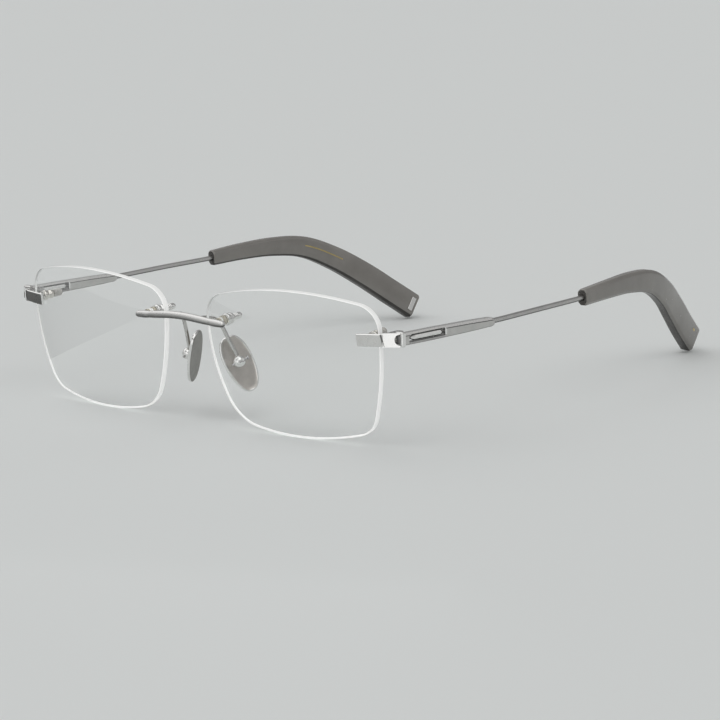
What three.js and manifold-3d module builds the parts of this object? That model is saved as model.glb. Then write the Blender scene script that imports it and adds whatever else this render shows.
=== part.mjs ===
// Rimless rectangular eyeglasses, open and standing on the lens bottoms and the temple tips.
// Millimetres, +Z up, the lenses face -Y, the temples run towards +Y, the wearer's left is +X.
// The left half is modelled; the right half is its mirror image.
import * as THREE from "three";
import { ParametricGeometry } from "three/addons/geometries/ParametricGeometry.js";
import { ConvexGeometry } from "three/addons/geometries/ConvexGeometry.js";
import { mergeVertices } from "three/addons/utils/BufferGeometryUtils.js";
import Module from "manifold-3d";

const wasm = await Module();
wasm.setup();

// ---- Driving dimensions ----

const CLEARANCE = 0.1; // between small fitted pieces

// Lens: cut from a round blank with two spherical faces.
const LENS_RADIUS = 130;
const LENS_THICKNESS = 1.5;
const BLANK_RADIUS = 36;
const LENS_CENTRE = [36.34, -0.62, 18.73];
const LENS_TILT = THREE.MathUtils.degToRad(5.34); // top leans forward
const LENS_WRAP = THREE.MathUtils.degToRad(4.06); // temporal side sits further back
// Outline seen from the front, nasal top corner first: corner, bulge of the side that follows it
// and the length that its rounding takes from each side.
const LENS_CORNERS = [
  { at: [-28.23, 14.92], bulge: 3.82, round: 5.32 },
  { at: [27.64, 15.33], bulge: 2.2, round: 4.89 },
  { at: [22.9, -16.22], bulge: 2.58, round: 3.54 },
  { at: [-20.55, -16.46], bulge: 2.63, round: 5.58 },
];
const CORNER_FULLNESS = 0.58;

// Lens mounts: a threaded post through a bushed hole, held behind the lens by a nut and a cap.
const HOLE_RADIUS = 1.0;
const POST_RADIUS = 0.55;
const BRIDGE_MOUNT = {
  name: "bridge",
  at: [-22.9, 9.15],
  lean: [-0.04, 0],
  post: [-0.5, 8.4],
  frontCollar: { from: -0.5, to: -0.32, radius: 1.0 },
  rearCollar: { from: 1.85, to: 2.6, radius: 1.2 },
  washer: [2.68, 2.9, 1.35],
  nut: [3.0, 5.6, 1.55],
  cap: [5.7, 9.0, 0.85],
};
const ENDPIECE_MOUNT = {
  name: "endpiece",
  at: [25.5, 8.25],
  lean: [0, 0.17],
  post: [-0.45, 7.0],
  frontCollar: { from: -0.42, to: -0.08, radius: 1.3 },
  rearCollar: { from: 1.66, to: 1.74, radius: 1.3 },
  washer: [1.8, 2.04, 1.4],
  nut: [2.14, 5.0, 1.38],
  cap: [5.1, 7.65, 1.05],
};

// Bridge bar: centre line from the middle outwards, half height and half depth of its section.
const BRIDGE_LINE = [
  [0, -2.4, 28.6],
  [3.7, -2.39, 28.5],
  [7.6, -2.34, 28.22],
  [11.6, -2.24, 27.87],
  [16.4, -2.0, 27.6],
];
const BRIDGE_SECTION = { high: 0.97, deep: 0.78, endHigh: 0.82 };
const BRIDGE_END = 0.85; // length of the rounded end

// Nose pads on bent wire arms.
const ARM_RADIUS = 0.5;
const ARM_LINE = [
  [4.4, -1.5, 28.2],
  [4.85, 0.3, 27.95],
  [5.6, 2.7, 27.75],
  [6.7, 5.0, 27.1],
  [7.5, 6.3, 25.1],
  [8.3, 7.8, 21.2],
  [9.3, 9.25, 17.35],
];
const PAD_CENTRE = [8.8, 10.5, 14.9];
const PAD_DOWN = [0.37, 0.19, -0.91]; // along the pad
const PAD_ACROSS = [0.32, 0.89, 0.31]; // along its width, towards the face
const PAD = { long: 15.4, wide: 7.9, thick: 1.0, bevel: 0.26 };
const PAD_BOX = { radius: 1.7, thick: 2.4, away: 2.05, along: -0.55, forward: 0.45 };
const PAD_STEM_RADIUS = 0.55;
const PAD_PIN = { radius: 0.3, long: 4.3, head: 0.55 };

// Endpiece: flat front bar, bent outer plate, two hinge ears.
const BAR = { long: 8.1, high: 3.2, thick: 0.7, bevel: 0.18 };
const BAR_AT = [62.52, 2.42, 27.3];
const BAR_ROLL = THREE.MathUtils.degToRad(-1.7); // outer end up
const BAR_YAW = THREE.MathUtils.degToRad(8.5);
const BAR_PITCH = THREE.MathUtils.degToRad(5.34);
const PLATE = { low: 25.8, high: 29.3 };
const PLATE_FRONT = [66.35, 2.62];
const PLATE_REAR = [70.1, 5.05];
const PLATE_THICK = 1.15;
const NOTCH_RADIUS = 1.35;
const NOTCH_INSET = 0.15; // from the rear edge of the plate to the centre of its notch

// Hinge: a vertical pivot inboard of the temple.
const PIVOT = [66.3, 8.4];
const HINGE_RADIUS = 1.25;
const EAR_WIDTH = 2.4;
const EAR_ROOT = 4.6; // how far in front of the pivot the ears start
const EARS = [
  [25.95, 26.8],
  [28.0, 28.85],
];
const KNUCKLE = [26.9, 27.9];
const SCREW = { radius: 0.42, head: 0.8, top: 28.95, bottom: 26.05, headThick: 0.38 };

// Temple blade, in its own frame: origin at the front face, +Y along the blade.
const BLADE_AT = [69.3, 5.25, 27.6];
const BLADE_END = [70.25, 39.6, 26.9];
const BLADE_THICK = 2.35;
const BLADE_BEVEL = 0.3;
const BLADE_HALF_HEIGHTS = [
  [0, 1.5],
  [11, 1.5],
  [18, 1.42],
  [25, 1.32],
  [30.5, 1.14],
  [32.7, 0.98],
  [33.3, 0.7],
];
const FLANGE = { long: 1.3, proud: 0.12, high: 3.84 };
const WINDOW = { from: 2.5, to: 15.6, high: 2.2 };
const NOSE = { radius: 1.0, high: 1.9, set: 0.65 };
const BORE = { radius: 0.85, from: 16.5, to: 25, neck: 0.48 };

// Slider of the spring hinge: knuckle, arm, piston in the window, tail pin with a head.
const PISTON = { cone: 3.75, front: 5.0, rear: 13.9, radius: 0.82, coneRadius: 0.35 };
const TAIL = { radius: 0.3, end: 23.4, head: 0.62, headLong: 0.6 };
const ARM_WIDTH = 1.1;
const ARM_HIGH = [27.0, 27.8];
const SPRING = { from: 16.75, to: 22.6, radius: 0.56, wire: 0.13, turns: 6 };

// Temple wire and acetate tip: centre line, then height and thickness along it.
const WIRE_RADIUS = 0.68;
const ROD_MIDDLE = [70.05, 57.5, 26.98];
const ROD_START = 0.08; // how far the rod reaches into the blade, as a share of its length
const TIP_LINE = [
  [69.35, 75.2, 27.0],
  [68.5, 86.6, 27.4],
  [66.9, 97.8, 27.3],
  [65.0, 108.6, 25.8],
  [62.0, 118.4, 21.25],
  [58.4, 127.3, 15.2],
  [55.2, 135.6, 8.75],
  [52.7, 142.7, 3.35],
];
const TIP_HEIGHTS = [4.3, 5.2, 6.6, 7.5, 7.6];
const TIP_THICKNESS = [3.0, 4.0];
const TIP_CHAMFER = 0.75;
const CORE_END = 0.84; // how far the wire runs inside the tip, as a share of its length
const INLAY = { at: 0.979, long: 1.5, high: 4.2, deep: 0.5, proud: 0.12 };

// ---- Materials ----

const FINISH = {
  titanium: { color: 0xb9b8b5, roughness: 0.38, metalness: 1 },
  chrome: { color: 0xd9d8d6, roughness: 0.1, metalness: 1 },
  pad: { color: 0x9a948d, roughness: 0.42, metalness: 1 },
  steel: { color: 0xa9a9a8, roughness: 0.3, metalness: 1 },
  glass: { color: 0xf4f6f5, roughness: 0.03, metalness: 0, transparent: true, opacity: 0.2 },
  sleeve: { color: 0xe4e2dc, roughness: 0.25, metalness: 0, transparent: true, opacity: 0.6 },
  acetate: { color: 0x6f6a66, roughness: 0.22, metalness: 0, transparent: true, opacity: 0.9 },
};

// ---- Solids ----

// The geometry as a manifold-3d solid with its faces pointing out.
function solidOf(geometry) {
  const bare = geometry.clone();
  bare.deleteAttribute("normal");
  bare.deleteAttribute("uv");
  const merged = mergeVertices(bare, 1e-4);
  const index = [...merged.index.array];
  const triangles = [];
  for (let i = 0; i < index.length; i += 3) {
    const [a, b, c] = index.slice(i, i + 3);
    if (a !== b && b !== c && c !== a) triangles.push(a, b, c);
  }
  const build = (triVerts) =>
    new wasm.Manifold(
      new wasm.Mesh({
        numProp: 3,
        vertProperties: new Float32Array(merged.attributes.position.array),
        triVerts: new Uint32Array(triVerts),
      }),
    );
  const solid = build(triangles);
  return solid.volume() < 0 ? build(triangles.reverse()) : solid;
}

function geometryOf(solid) {
  const mesh = solid.getMesh();
  const geometry = new THREE.BufferGeometry();
  geometry.setAttribute("position", new THREE.BufferAttribute(mesh.vertProperties, 3));
  geometry.setIndex(new THREE.BufferAttribute(mesh.triVerts, 1));
  const flat = geometry.toNonIndexed();
  flat.computeVertexNormals();
  return flat;
}

function join(...geometries) {
  const solids = geometries.map(solidOf);
  return geometryOf(solids.reduce((sum, solid) => sum.add(solid)));
}

function cut(geometry, ...tools) {
  return geometryOf(tools.map(solidOf).reduce((left, tool) => left.subtract(tool), solidOf(geometry)));
}

function common(a, b) {
  return geometryOf(solidOf(a).intersect(solidOf(b)));
}

const vector = (p) => new THREE.Vector3(...p);

// A round bar between two points.
function rod(from, to, radius, sides = 12) {
  const start = vector(from);
  const along = vector(to).sub(start);
  const turn = new THREE.Quaternion().setFromUnitVectors(
    new THREE.Vector3(0, 1, 0),
    along.clone().normalize(),
  );
  const place = new THREE.Matrix4().compose(
    start.addScaledVector(along, 0.5),
    turn,
    new THREE.Vector3(1, 1, 1),
  );
  return new THREE.CylinderGeometry(radius, radius, along.length(), sides).applyMatrix4(place);
}

// A turned piece on the Y axis, from [radius, y] points that start and end on the axis.
function turned(profile, sides = 14) {
  return new THREE.LatheGeometry(
    profile.map(([r, y]) => new THREE.Vector2(r, y)),
    sides,
  );
}

// A closed skin over rings of points, flat at both ends.
function skin(rings) {
  const count = rings[0].length;
  const middle = (ring) =>
    ring.reduce((sum, p) => sum.add(p), new THREE.Vector3()).divideScalar(count);
  const rows = [
    Array(count).fill(middle(rings[0])),
    ...rings,
    Array(count).fill(middle(rings.at(-1))),
  ];
  return new ParametricGeometry(
    (u, v, target) => {
      const row = rows[Math.round(v * (rows.length - 1))];
      target.copy(row[Math.round(u * count) % count]);
    },
    count,
    rows.length - 1,
  );
}

// Rings along a curve; section(t) gives the ring's [sideways, upwards] points at share t.
function sweep(curve, shares, section) {
  return skin(
    shares.map((t) => {
      const centre = curve.getPointAt(t);
      const along = curve.getTangentAt(t);
      const side = new THREE.Vector3(1, 0, 0).addScaledVector(along, -along.x).normalize();
      const up = new THREE.Vector3().crossVectors(side, along).normalize();
      return section(t).map(([x, z]) =>
        centre.clone().addScaledVector(side, x).addScaledVector(up, z),
      );
    }),
  );
}

// The same for a curve that runs along X: the ring's points are [deep, high].
function sweepAcross(curve, shares, section) {
  return skin(
    shares.map((t) => {
      const centre = curve.getPointAt(t);
      const along = curve.getTangentAt(t);
      const back = new THREE.Vector3(0, 1, 0).addScaledVector(along, -along.y).normalize();
      const up = new THREE.Vector3().crossVectors(along, back).normalize();
      return section(t).map(([y, z]) =>
        centre.clone().addScaledVector(back, y).addScaledVector(up, z),
      );
    }),
  );
}

const steps = (count, from = 0, to = 1) =>
  Array.from({ length: count + 1 }, (_, i) => from + ((to - from) * i) / count);

// Linear interpolation in a list of values spread evenly over 0 to 1.
function along(values, t) {
  const place = Math.min(t, 0.9999) * (values.length - 1);
  const i = Math.floor(place);
  return THREE.MathUtils.lerp(values[i], values[i + 1], place - i);
}

const oval = (halfWide, halfHigh, sides) =>
  steps(sides - 1, 0, (2 * Math.PI * (sides - 1)) / sides).map((a) => [
    halfWide * Math.cos(a),
    halfHigh * Math.sin(a),
  ]);

// A rectangle with cut corners, from its right side round.
function chamfered(wide, high, chamfer) {
  const [x, z] = [wide / 2, high / 2];
  const [xi, zi] = [x - chamfer, z - chamfer];
  return [
    [x, -zi],
    [x, zi],
    [xi, z],
    [-xi, z],
    [-x, zi],
    [-x, -zi],
    [-xi, -z],
    [xi, -z],
  ];
}

// A flat plate: an outline in plan, between two heights.
function plate(points, low, high) {
  const shape = new THREE.Shape(points.map(([x, y]) => new THREE.Vector2(x, y)));
  return new THREE.ExtrudeGeometry(shape, { depth: high - low, bevelEnabled: false }).translate(
    0,
    0,
    low,
  );
}

// ---- Lens ----

function lensOutline(perSide, perCorner) {
  const sides = LENS_CORNERS.map((corner, i) => {
    const from = new THREE.Vector2(...corner.at);
    const to = new THREE.Vector2(...LENS_CORNERS[(i + 1) % 4].at);
    const run = to.clone().sub(from);
    const out = new THREE.Vector2(-run.y, run.x).normalize();
    const control = from.clone().lerp(to, 0.5).addScaledVector(out, 2 * corner.bulge);
    return { curve: new THREE.QuadraticBezierCurve(from, control, to), length: run.length() };
  });
  const points = [];
  sides.forEach((side, i) => {
    const next = (i + 1) % 4;
    const start = LENS_CORNERS[i].round / side.length;
    const end = 1 - LENS_CORNERS[next].round / side.length;
    const entry = LENS_CORNERS[next].round / sides[next].length;
    steps(perSide, start, end).forEach((t) => points.push(side.curve.getPoint(t)));
    const a = side.curve.getPoint(end);
    const b = sides[next].curve.getPoint(entry);
    const ta = side.curve.getTangent(end);
    const tb = sides[next].curve.getTangent(entry);
    const reach = b.clone().sub(a).cross(tb) / ta.cross(tb);
    const tip = a.clone().addScaledVector(ta, reach);
    const corner = new THREE.CubicBezierCurve(
      a,
      a.clone().lerp(tip, CORNER_FULLNESS),
      b.clone().lerp(tip, CORNER_FULLNESS),
      b,
    );
    steps(perCorner, 0, 1)
      .slice(1, -1)
      .forEach((t) => points.push(corner.getPoint(t)));
  });
  return points;
}

const sag = (r, radius) => radius - Math.sqrt(radius * radius - r * r);

// The frame of a mount's axis in lens space: its origin is on the front face.
function mountMatrix(mount) {
  const [u, v] = mount.at;
  const y = sag(Math.hypot(u, v), LENS_RADIUS);
  const turn = new THREE.Euler(mount.lean[0], 0, mount.lean[1]);
  return new THREE.Matrix4().makeRotationFromEuler(turn).setPosition(u, y, v);
}

function lens() {
  const outline = new THREE.Shape(lensOutline(7, 5));
  const cutter = new THREE.ExtrudeGeometry(outline, { depth: 30, bevelEnabled: false })
    .rotateX(Math.PI / 2)
    .translate(0, 20, 0);
  const radii = steps(5, 0, BLANK_RADIUS);
  const front = radii.map((r) => [r, sag(r, LENS_RADIUS)]);
  const back = radii.map((r) => [r, sag(r, LENS_RADIUS - LENS_THICKNESS) + LENS_THICKNESS]);
  const blank = turned([...front, ...back.reverse()], 28);
  const drills = [BRIDGE_MOUNT, ENDPIECE_MOUNT].map((mount) =>
    rod([0, -3, 0], [0, 6, 0], HOLE_RADIUS).applyMatrix4(mountMatrix(mount)),
  );
  return cut(common(blank, cutter), ...drills);
}

// ---- Lens mounts ----

function bushing(mount) {
  const sleeve = HOLE_RADIUS - CLEARANCE;
  const { frontCollar, rearCollar } = mount;
  const profile = [
    [0, frontCollar.from],
    [frontCollar.radius, frontCollar.from],
    [frontCollar.radius, frontCollar.to],
    [sleeve, frontCollar.to],
    [sleeve, rearCollar.from],
    [rearCollar.radius, rearCollar.from],
    [rearCollar.radius, rearCollar.to],
    [0, rearCollar.to],
  ];
  return cut(turned(profile), rod([0, -3, 0], [0, 4, 0], POST_RADIUS + CLEARANCE));
}

const post = (mount) => rod([0, mount.post[0], 0], [0, mount.post[1], 0], POST_RADIUS, 14);

function washer(mount) {
  const [from, to, radius] = mount.washer;
  return cut(
    rod([0, from, 0], [0, to, 0], radius, 20),
    rod([0, from - 1, 0], [0, to + 1, 0], POST_RADIUS + CLEARANCE),
  );
}

// A rounded nut with a waist between its two shoulders.
function nut(mount) {
  const [from, to, radius] = mount.nut;
  const long = to - from;
  const shape = [
    [0, 0],
    [0.85, 0],
    [1, 0.16],
    [0.97, 0.36],
    [0.8, 0.5],
    [0.92, 0.68],
    [0.84, 0.92],
    [0.66, 1],
    [0, 1],
  ].map(([r, y]) => [r * radius, from + y * long]);
  return cut(turned(shape), rod([0, from - 1, 0], [0, to + 1, 0], POST_RADIUS + CLEARANCE));
}

// A cap with a domed end and a groove round it.
function cap(mount) {
  const [from, to, radius] = mount.cap;
  const long = to - from;
  const groove = [
    [1, 0.22],
    [0.88, 0.3],
    [1, 0.38],
  ];
  const shape = [[0, 0], [1, 0], ...groove, [1, 0.72], [0.8, 0.93], [0, 1]];
  const depth = from + Math.min(long - 0.5, mount.post[1] - from + CLEARANCE);
  return cut(
    turned(shape.map(([r, y]) => [r * radius, from + y * long])),
    rod([0, from - 1, 0], [0, depth, 0], POST_RADIUS + CLEARANCE),
  );
}

// ---- Bridge and pads ----

function bridge() {
  const half = BRIDGE_LINE.map(vector);
  const mirrored = half.slice(1).map((p) => new THREE.Vector3(-p.x, p.y, p.z));
  const curve = new THREE.CatmullRomCurve3([...mirrored.reverse(), ...half]);
  const length = curve.getLength();
  const end = BRIDGE_END / length;
  const { high, deep, endHigh } = BRIDGE_SECTION;
  const section = (t) => {
    const out = Math.abs(2 * t - 1);
    const tall = THREE.MathUtils.lerp(high, endHigh, THREE.MathUtils.smoothstep(out, 0.8, 1));
    const left = Math.min(t, 1 - t) / end;
    const fade = left < 1 ? Math.sqrt(Math.max(1 - (1 - left) ** 2, 0.04)) : 1;
    return oval(deep * fade, tall * fade, 12);
  };
  const tip = steps(4, 0, end);
  const shares = [...tip, ...steps(16, end, 1 - end).slice(1, -1), ...tip.map((t) => 1 - t).reverse()];
  return sweepAcross(curve, shares, section);
}

function padArm() {
  const curve = new THREE.CatmullRomCurve3(ARM_LINE.map(vector));
  const frames = curve.computeFrenetFrames(16, false);
  const rings = steps(16).map((t, i) => {
    const centre = curve.getPointAt(t);
    return oval(ARM_RADIUS, ARM_RADIUS, 8).map(([x, z]) =>
      centre
        .clone()
        .addScaledVector(frames.normals[i], x)
        .addScaledVector(frames.binormals[i], z),
    );
  });
  return skin(rings);
}

// The frame of a pad: X forward across its width, Y down its length, Z away from the nose.
function padMatrix() {
  const down = vector(PAD_DOWN).normalize();
  const across = vector(PAD_ACROSS);
  across.addScaledVector(down, -across.dot(down)).normalize();
  const forward = across.negate();
  const out = new THREE.Vector3().crossVectors(forward, down);
  return new THREE.Matrix4().makeBasis(forward, down, out).setPosition(...PAD_CENTRE);
}

function padOutline() {
  const { long, wide, bevel } = PAD;
  const points = steps(23, 0, (2 * Math.PI * 23) / 24).map((a) => {
    const y = Math.sin(a);
    const taper = 1 - 0.1 * y;
    const full = Math.sign(Math.cos(a)) * Math.abs(Math.cos(a)) ** 0.78;
    return new THREE.Vector2((wide / 2 - bevel) * taper * full, (long / 2 - bevel) * y);
  });
  return new THREE.Shape(points);
}

const boxCentre = () => [PAD_BOX.forward, PAD_BOX.along, PAD_BOX.away];

function nosePad() {
  const { thick, bevel } = PAD;
  const body = new THREE.ExtrudeGeometry(padOutline(), {
    depth: thick - 2 * bevel,
    bevelThickness: bevel,
    bevelSize: bevel,
    bevelSegments: 1,
  }).translate(0, 0, bevel - thick / 2);
  const [x, y, z] = boxCentre();
  const stem = rod([x, y, 0], [x, y, z + 0.36], PAD_STEM_RADIUS, 14);
  const pin = PAD_PIN.radius + CLEARANCE * 0.6;
  return cut(join(body, stem), rod([x - 2, y, z], [x + 2, y, z], pin, 12)).applyMatrix4(padMatrix());
}

function padBox() {
  const [x, y, z] = boxCentre();
  const { radius, thick } = PAD_BOX;
  const shell = turned(
    [
      [0, -0.5],
      [0.6, -0.5],
      [0.86, -0.4],
      [1, -0.16],
      [1, 0.12],
      [0.9, 0.32],
      [0.66, 0.45],
      [0.3, 0.5],
      [0, 0.5],
    ].map(([r, y]) => [r * radius, y * thick]),
    16,
  )
    .rotateX(Math.PI / 2)
    .translate(x, y, z);
  const socket = rod([x, y, z - 2], [x, y, z + 0.5], PAD_STEM_RADIUS + 0.36, 16);
  const pin = PAD_PIN.radius + CLEARANCE * 0.6;
  const local = cut(shell, socket, rod([x - 3, y, z], [x + 3, y, z], pin, 12));
  return local.applyMatrix4(padMatrix());
}

function padPin() {
  const [x, y, z] = boxCentre();
  const half = PAD_PIN.long / 2;
  return join(
    rod([x - half, y, z], [x + half - 0.1, y, z], PAD_PIN.radius, 12),
    rod([x - half - 0.35, y, z], [x - half + 0.1, y, z], PAD_PIN.head, 14),
  ).applyMatrix4(padMatrix());
}

// ---- Endpiece and hinge ----

function endpiece() {
  const { long, high, thick, bevel } = BAR;
  const face = new THREE.Shape([
    new THREE.Vector2(-long / 2 + bevel, -high / 2 + bevel),
    new THREE.Vector2(long / 2 - bevel, -high / 2 + bevel),
    new THREE.Vector2(long / 2 - bevel, high / 2 - bevel),
    new THREE.Vector2(-long / 2 + bevel, high / 2 - bevel),
  ]);
  const bar = new THREE.ExtrudeGeometry(face, {
    depth: thick - 2 * bevel,
    bevelThickness: bevel,
    bevelSize: bevel,
    bevelSegments: 1,
  })
    .translate(0, 0, bevel - thick / 2)
    .rotateX(Math.PI / 2)
    .rotateY(BAR_ROLL)
    .rotateZ(BAR_YAW)
    .rotateX(BAR_PITCH)
    .translate(...BAR_AT);
  const [fx, fy] = PLATE_FRONT;
  const [rx, ry] = PLATE_REAR;
  const run = Math.hypot(rx - fx, ry - fy);
  const inward = [(-(ry - fy) / run) * PLATE_THICK, ((rx - fx) / run) * PLATE_THICK];
  const rearInner = rx - (PLATE_THICK * run) / (ry - fy);
  const bend = new ConvexGeometry(
    [PLATE.low, PLATE.high].flatMap((z) => [
      new THREE.Vector3(fx, fy, z),
      new THREE.Vector3(rx - 0.12, ry - 0.12, z),
      new THREE.Vector3(rx - 0.1, ry, z),
      new THREE.Vector3(rearInner, ry, z),
      new THREE.Vector3(fx + inward[0], fy + inward[1], z),
    ]),
  );
  const [px, py] = PIVOT;
  const half = EAR_WIDTH / 2;
  const ears = EARS.map(([bottom, top]) => {
    const round = steps(12, 0, Math.PI).map((a) => [
      px + HINGE_RADIUS * Math.cos(a),
      py + HINGE_RADIUS * Math.sin(a),
    ]);
    const root = [
      [px - half, py - EAR_ROOT],
      [px + half, py - EAR_ROOT],
    ];
    return plate([...round, ...root], bottom, top);
  });
  const middle = BLADE_AT[2];
  const normal = [(ry - fy) / run, -(rx - fx) / run];
  const nx = rx - (NOTCH_INSET * (rx - fx)) / run;
  const ny = ry - (NOTCH_INSET * (ry - fy)) / run;
  const notch = rod(
    [nx + 2 * normal[0], ny + 2 * normal[1], middle],
    [nx - 2 * normal[0], ny - 2 * normal[1], middle],
    NOTCH_RADIUS,
    24,
  );
  const screwHole = rod([px, py, 20], [px, py, 32], SCREW.radius + 0.06);
  const headSeat = rod(
    [px, py, SCREW.top - SCREW.headThick - 0.06],
    [px, py, 32],
    SCREW.head + 0.08,
    20,
  );
  return cut(join(bar, bend, ...ears), notch, screwHole, headSeat);
}

function hingeScrew() {
  const [px, py] = PIVOT;
  const neck = SCREW.top - SCREW.headThick;
  const slot = new THREE.BoxGeometry(2, 0.22, 0.3).translate(px, py, SCREW.top);
  return cut(
    join(
      rod([px, py, SCREW.bottom], [px, py, neck + 0.1], SCREW.radius),
      rod([px, py, neck], [px, py, SCREW.top], SCREW.head, 20),
    ),
    slot,
  );
}

// ---- Temple ----

const bladeMatrix = () => {
  const y = vector(BLADE_END).sub(vector(BLADE_AT)).normalize();
  const x = new THREE.Vector3(1, 0, 0).addScaledVector(y, -y.x).normalize();
  const z = new THREE.Vector3().crossVectors(x, y);
  return new THREE.Matrix4().makeBasis(x, y, z).setPosition(...BLADE_AT);
};

// A slab between two x values with its outline in the blade's Y-Z plane.
function slab(points, thick, bevel) {
  const shape = new THREE.Shape(points.map(([y, z]) => new THREE.Vector2(y, z)));
  return new THREE.ExtrudeGeometry(shape, {
    depth: thick - 2 * bevel,
    bevelEnabled: bevel > 0,
    bevelThickness: bevel,
    bevelSize: bevel,
    bevelOffset: -bevel,
    bevelSegments: 1,
  })
    .translate(0, 0, bevel - thick / 2)
    .rotateX(Math.PI / 2)
    .rotateZ(Math.PI / 2);
}

const tipCurve = new THREE.CatmullRomCurve3(TIP_LINE.map(vector));

function templeWire() {
  const inside = steps(12, 0, CORE_END).map((t) => tipCurve.getPointAt(t));
  const start = vector(BLADE_END).lerp(vector(BLADE_AT), ROD_START);
  const curve = new THREE.CatmullRomCurve3([
    start,
    vector(BLADE_END),
    vector(ROD_MIDDLE),
    ...inside,
  ]);
  return sweep(curve, steps(26), () => oval(WIRE_RADIUS, WIRE_RADIUS, 8));
}

function temple() {
  const top = BLADE_HALF_HEIGHTS;
  const bottom = [...BLADE_HALF_HEIGHTS].reverse().map(([y, z]) => [y, -z]);
  const body = slab([...top, ...bottom], BLADE_THICK, BLADE_BEVEL);
  const tall = FLANGE.high / 2;
  const flange = slab(
    [
      [0, tall],
      [FLANGE.long, tall],
      [FLANGE.long, -tall],
      [0, -tall],
    ],
    BLADE_THICK + 2 * FLANGE.proud,
    0.2,
  );
  const nose = rod([0, NOSE.set, -NOSE.high / 2], [0, NOSE.set, NOSE.high / 2], NOSE.radius, 20);
  const h = WINDOW.high / 2;
  const windowHole = slab(
    [
      [WINDOW.from, h],
      [WINDOW.to, h],
      [WINDOW.to, -h],
      [WINDOW.from, -h],
    ],
    6,
    0,
  );
  const bore = rod([0, BORE.from, 0], [0, BORE.to, 0], BORE.radius);
  const neck = rod([0, WINDOW.to - 1, 0], [0, BORE.from + 1, 0], BORE.neck);
  const blade = cut(join(body, flange, nose), windowHole, neck, bore).applyMatrix4(bladeMatrix());
  const swing = rod([...PIVOT, 20], [...PIVOT, 32], HINGE_RADIUS + 0.25, 24);
  return cut(join(blade, templeWire()), swing);
}

function slider() {
  const [px, py] = PIVOT;
  const barrel = rod([px, py, KNUCKLE[0]], [px, py, KNUCKLE[1]], HINGE_RADIUS, 24);
  const place = bladeMatrix();
  const { cone, front, rear, radius, coneRadius } = PISTON;
  const domed = steps(3, 0, (3 * Math.PI) / 8).map((a) => [
    radius * Math.cos(a),
    rear + radius * Math.sin(a),
  ]);
  const piston = turned([
    [0, cone],
    [coneRadius, cone],
    [radius, front],
    ...domed,
    [TAIL.radius, rear + radius],
    [TAIL.radius, TAIL.end - TAIL.headLong],
    [TAIL.head, TAIL.end - TAIL.headLong],
    [TAIL.head, TAIL.end],
    [0, TAIL.end],
  ]).applyMatrix4(place);
  const end = new THREE.Vector3(0, front + 0.35, 0).applyMatrix4(place);
  const run = new THREE.Vector2(end.x - px, end.y - py);
  const side = new THREE.Vector2(-run.y, run.x).normalize().multiplyScalar(ARM_WIDTH / 2);
  const arm = plate(
    [
      [px + side.x, py + side.y],
      [px - side.x, py - side.y],
      [end.x - side.x, end.y - side.y],
      [end.x + side.x, end.y + side.y],
    ],
    ...ARM_HIGH,
  );
  const hole = rod([px, py, 20], [px, py, 32], SCREW.radius + 0.06);
  return cut(join(barrel, arm, piston), hole);
}

function spring() {
  const { from, to, radius, wire, turns } = SPRING;
  const count = turns * 9;
  const rings = steps(count).map((t) => {
    const angle = t * turns * 2 * Math.PI;
    const out = new THREE.Vector3(Math.cos(angle), 0, Math.sin(angle));
    const centre = out.clone().multiplyScalar(radius).setY(from + t * (to - from));
    return oval(wire, wire, 4).map(([r, y]) =>
      centre.clone().addScaledVector(out, r).add(new THREE.Vector3(0, y, 0)),
    );
  });
  return geometryOf(solidOf(skin(rings))).applyMatrix4(bladeMatrix());
}

// ---- Temple tip ----

const tipFrame = (t) => {
  const ahead = tipCurve.getTangentAt(t);
  const side = new THREE.Vector3(1, 0, 0).addScaledVector(ahead, -ahead.x).normalize();
  const up = new THREE.Vector3().crossVectors(side, ahead).normalize();
  return new THREE.Matrix4().makeBasis(side, ahead, up).setPosition(tipCurve.getPointAt(t));
};

function inlayPlate(grow) {
  const thick = THREE.MathUtils.lerp(...TIP_THICKNESS, INLAY.at);
  const { long, high, deep, proud } = INLAY;
  return new THREE.BoxGeometry(deep + proud, long + 2 * grow, high + 2 * grow)
    .translate(-thick / 2 + (deep - proud) / 2 + grow, 0, 0)
    .applyMatrix4(tipFrame(INLAY.at));
}

function tip() {
  const body = sweep(tipCurve, steps(22), (t) =>
    chamfered(THREE.MathUtils.lerp(...TIP_THICKNESS, t), along(TIP_HEIGHTS, t), TIP_CHAMFER),
  );
  const start = tipCurve.getPointAt(0).sub(tipCurve.getTangentAt(0));
  const bore = new THREE.CatmullRomCurve3([
    start,
    ...steps(12, 0, CORE_END + 0.01).map((t) => tipCurve.getPointAt(t)),
  ]);
  const hole = WIRE_RADIUS + 0.3;
  return cut(
    body,
    sweep(bore, steps(18), () => oval(hole, hole, 8)),
    inlayPlate(0.08),
  );
}

// ---- Assembly ----

function piece(name, geometry, finish) {
  const mesh = new THREE.Mesh(geometry, new THREE.MeshStandardMaterial(FINISH[finish]));
  mesh.name = name;
  return mesh;
}

function mountPieces(mount, side) {
  const group = new THREE.Group();
  group.applyMatrix4(mountMatrix(mount));
  group.add(
    piece(`${mount.name}_post_${side}`, post(mount), "steel"),
    piece(`${mount.name}_bushing_${side}`, bushing(mount), "sleeve"),
    piece(`${mount.name}_washer_${side}`, washer(mount), "chrome"),
    piece(`${mount.name}_nut_${side}`, nut(mount), "chrome"),
    piece(`${mount.name}_cap_${side}`, cap(mount), mount === BRIDGE_MOUNT ? "chrome" : "sleeve"),
  );
  return group;
}

function lensGroup(side) {
  const group = new THREE.Group();
  group.position.set(...LENS_CENTRE);
  group.rotation.set(LENS_TILT, 0, LENS_WRAP);
  group.add(
    piece(`lens_${side}`, lens(), "glass"),
    mountPieces(BRIDGE_MOUNT, side),
    mountPieces(ENDPIECE_MOUNT, side),
  );
  return group;
}

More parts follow.
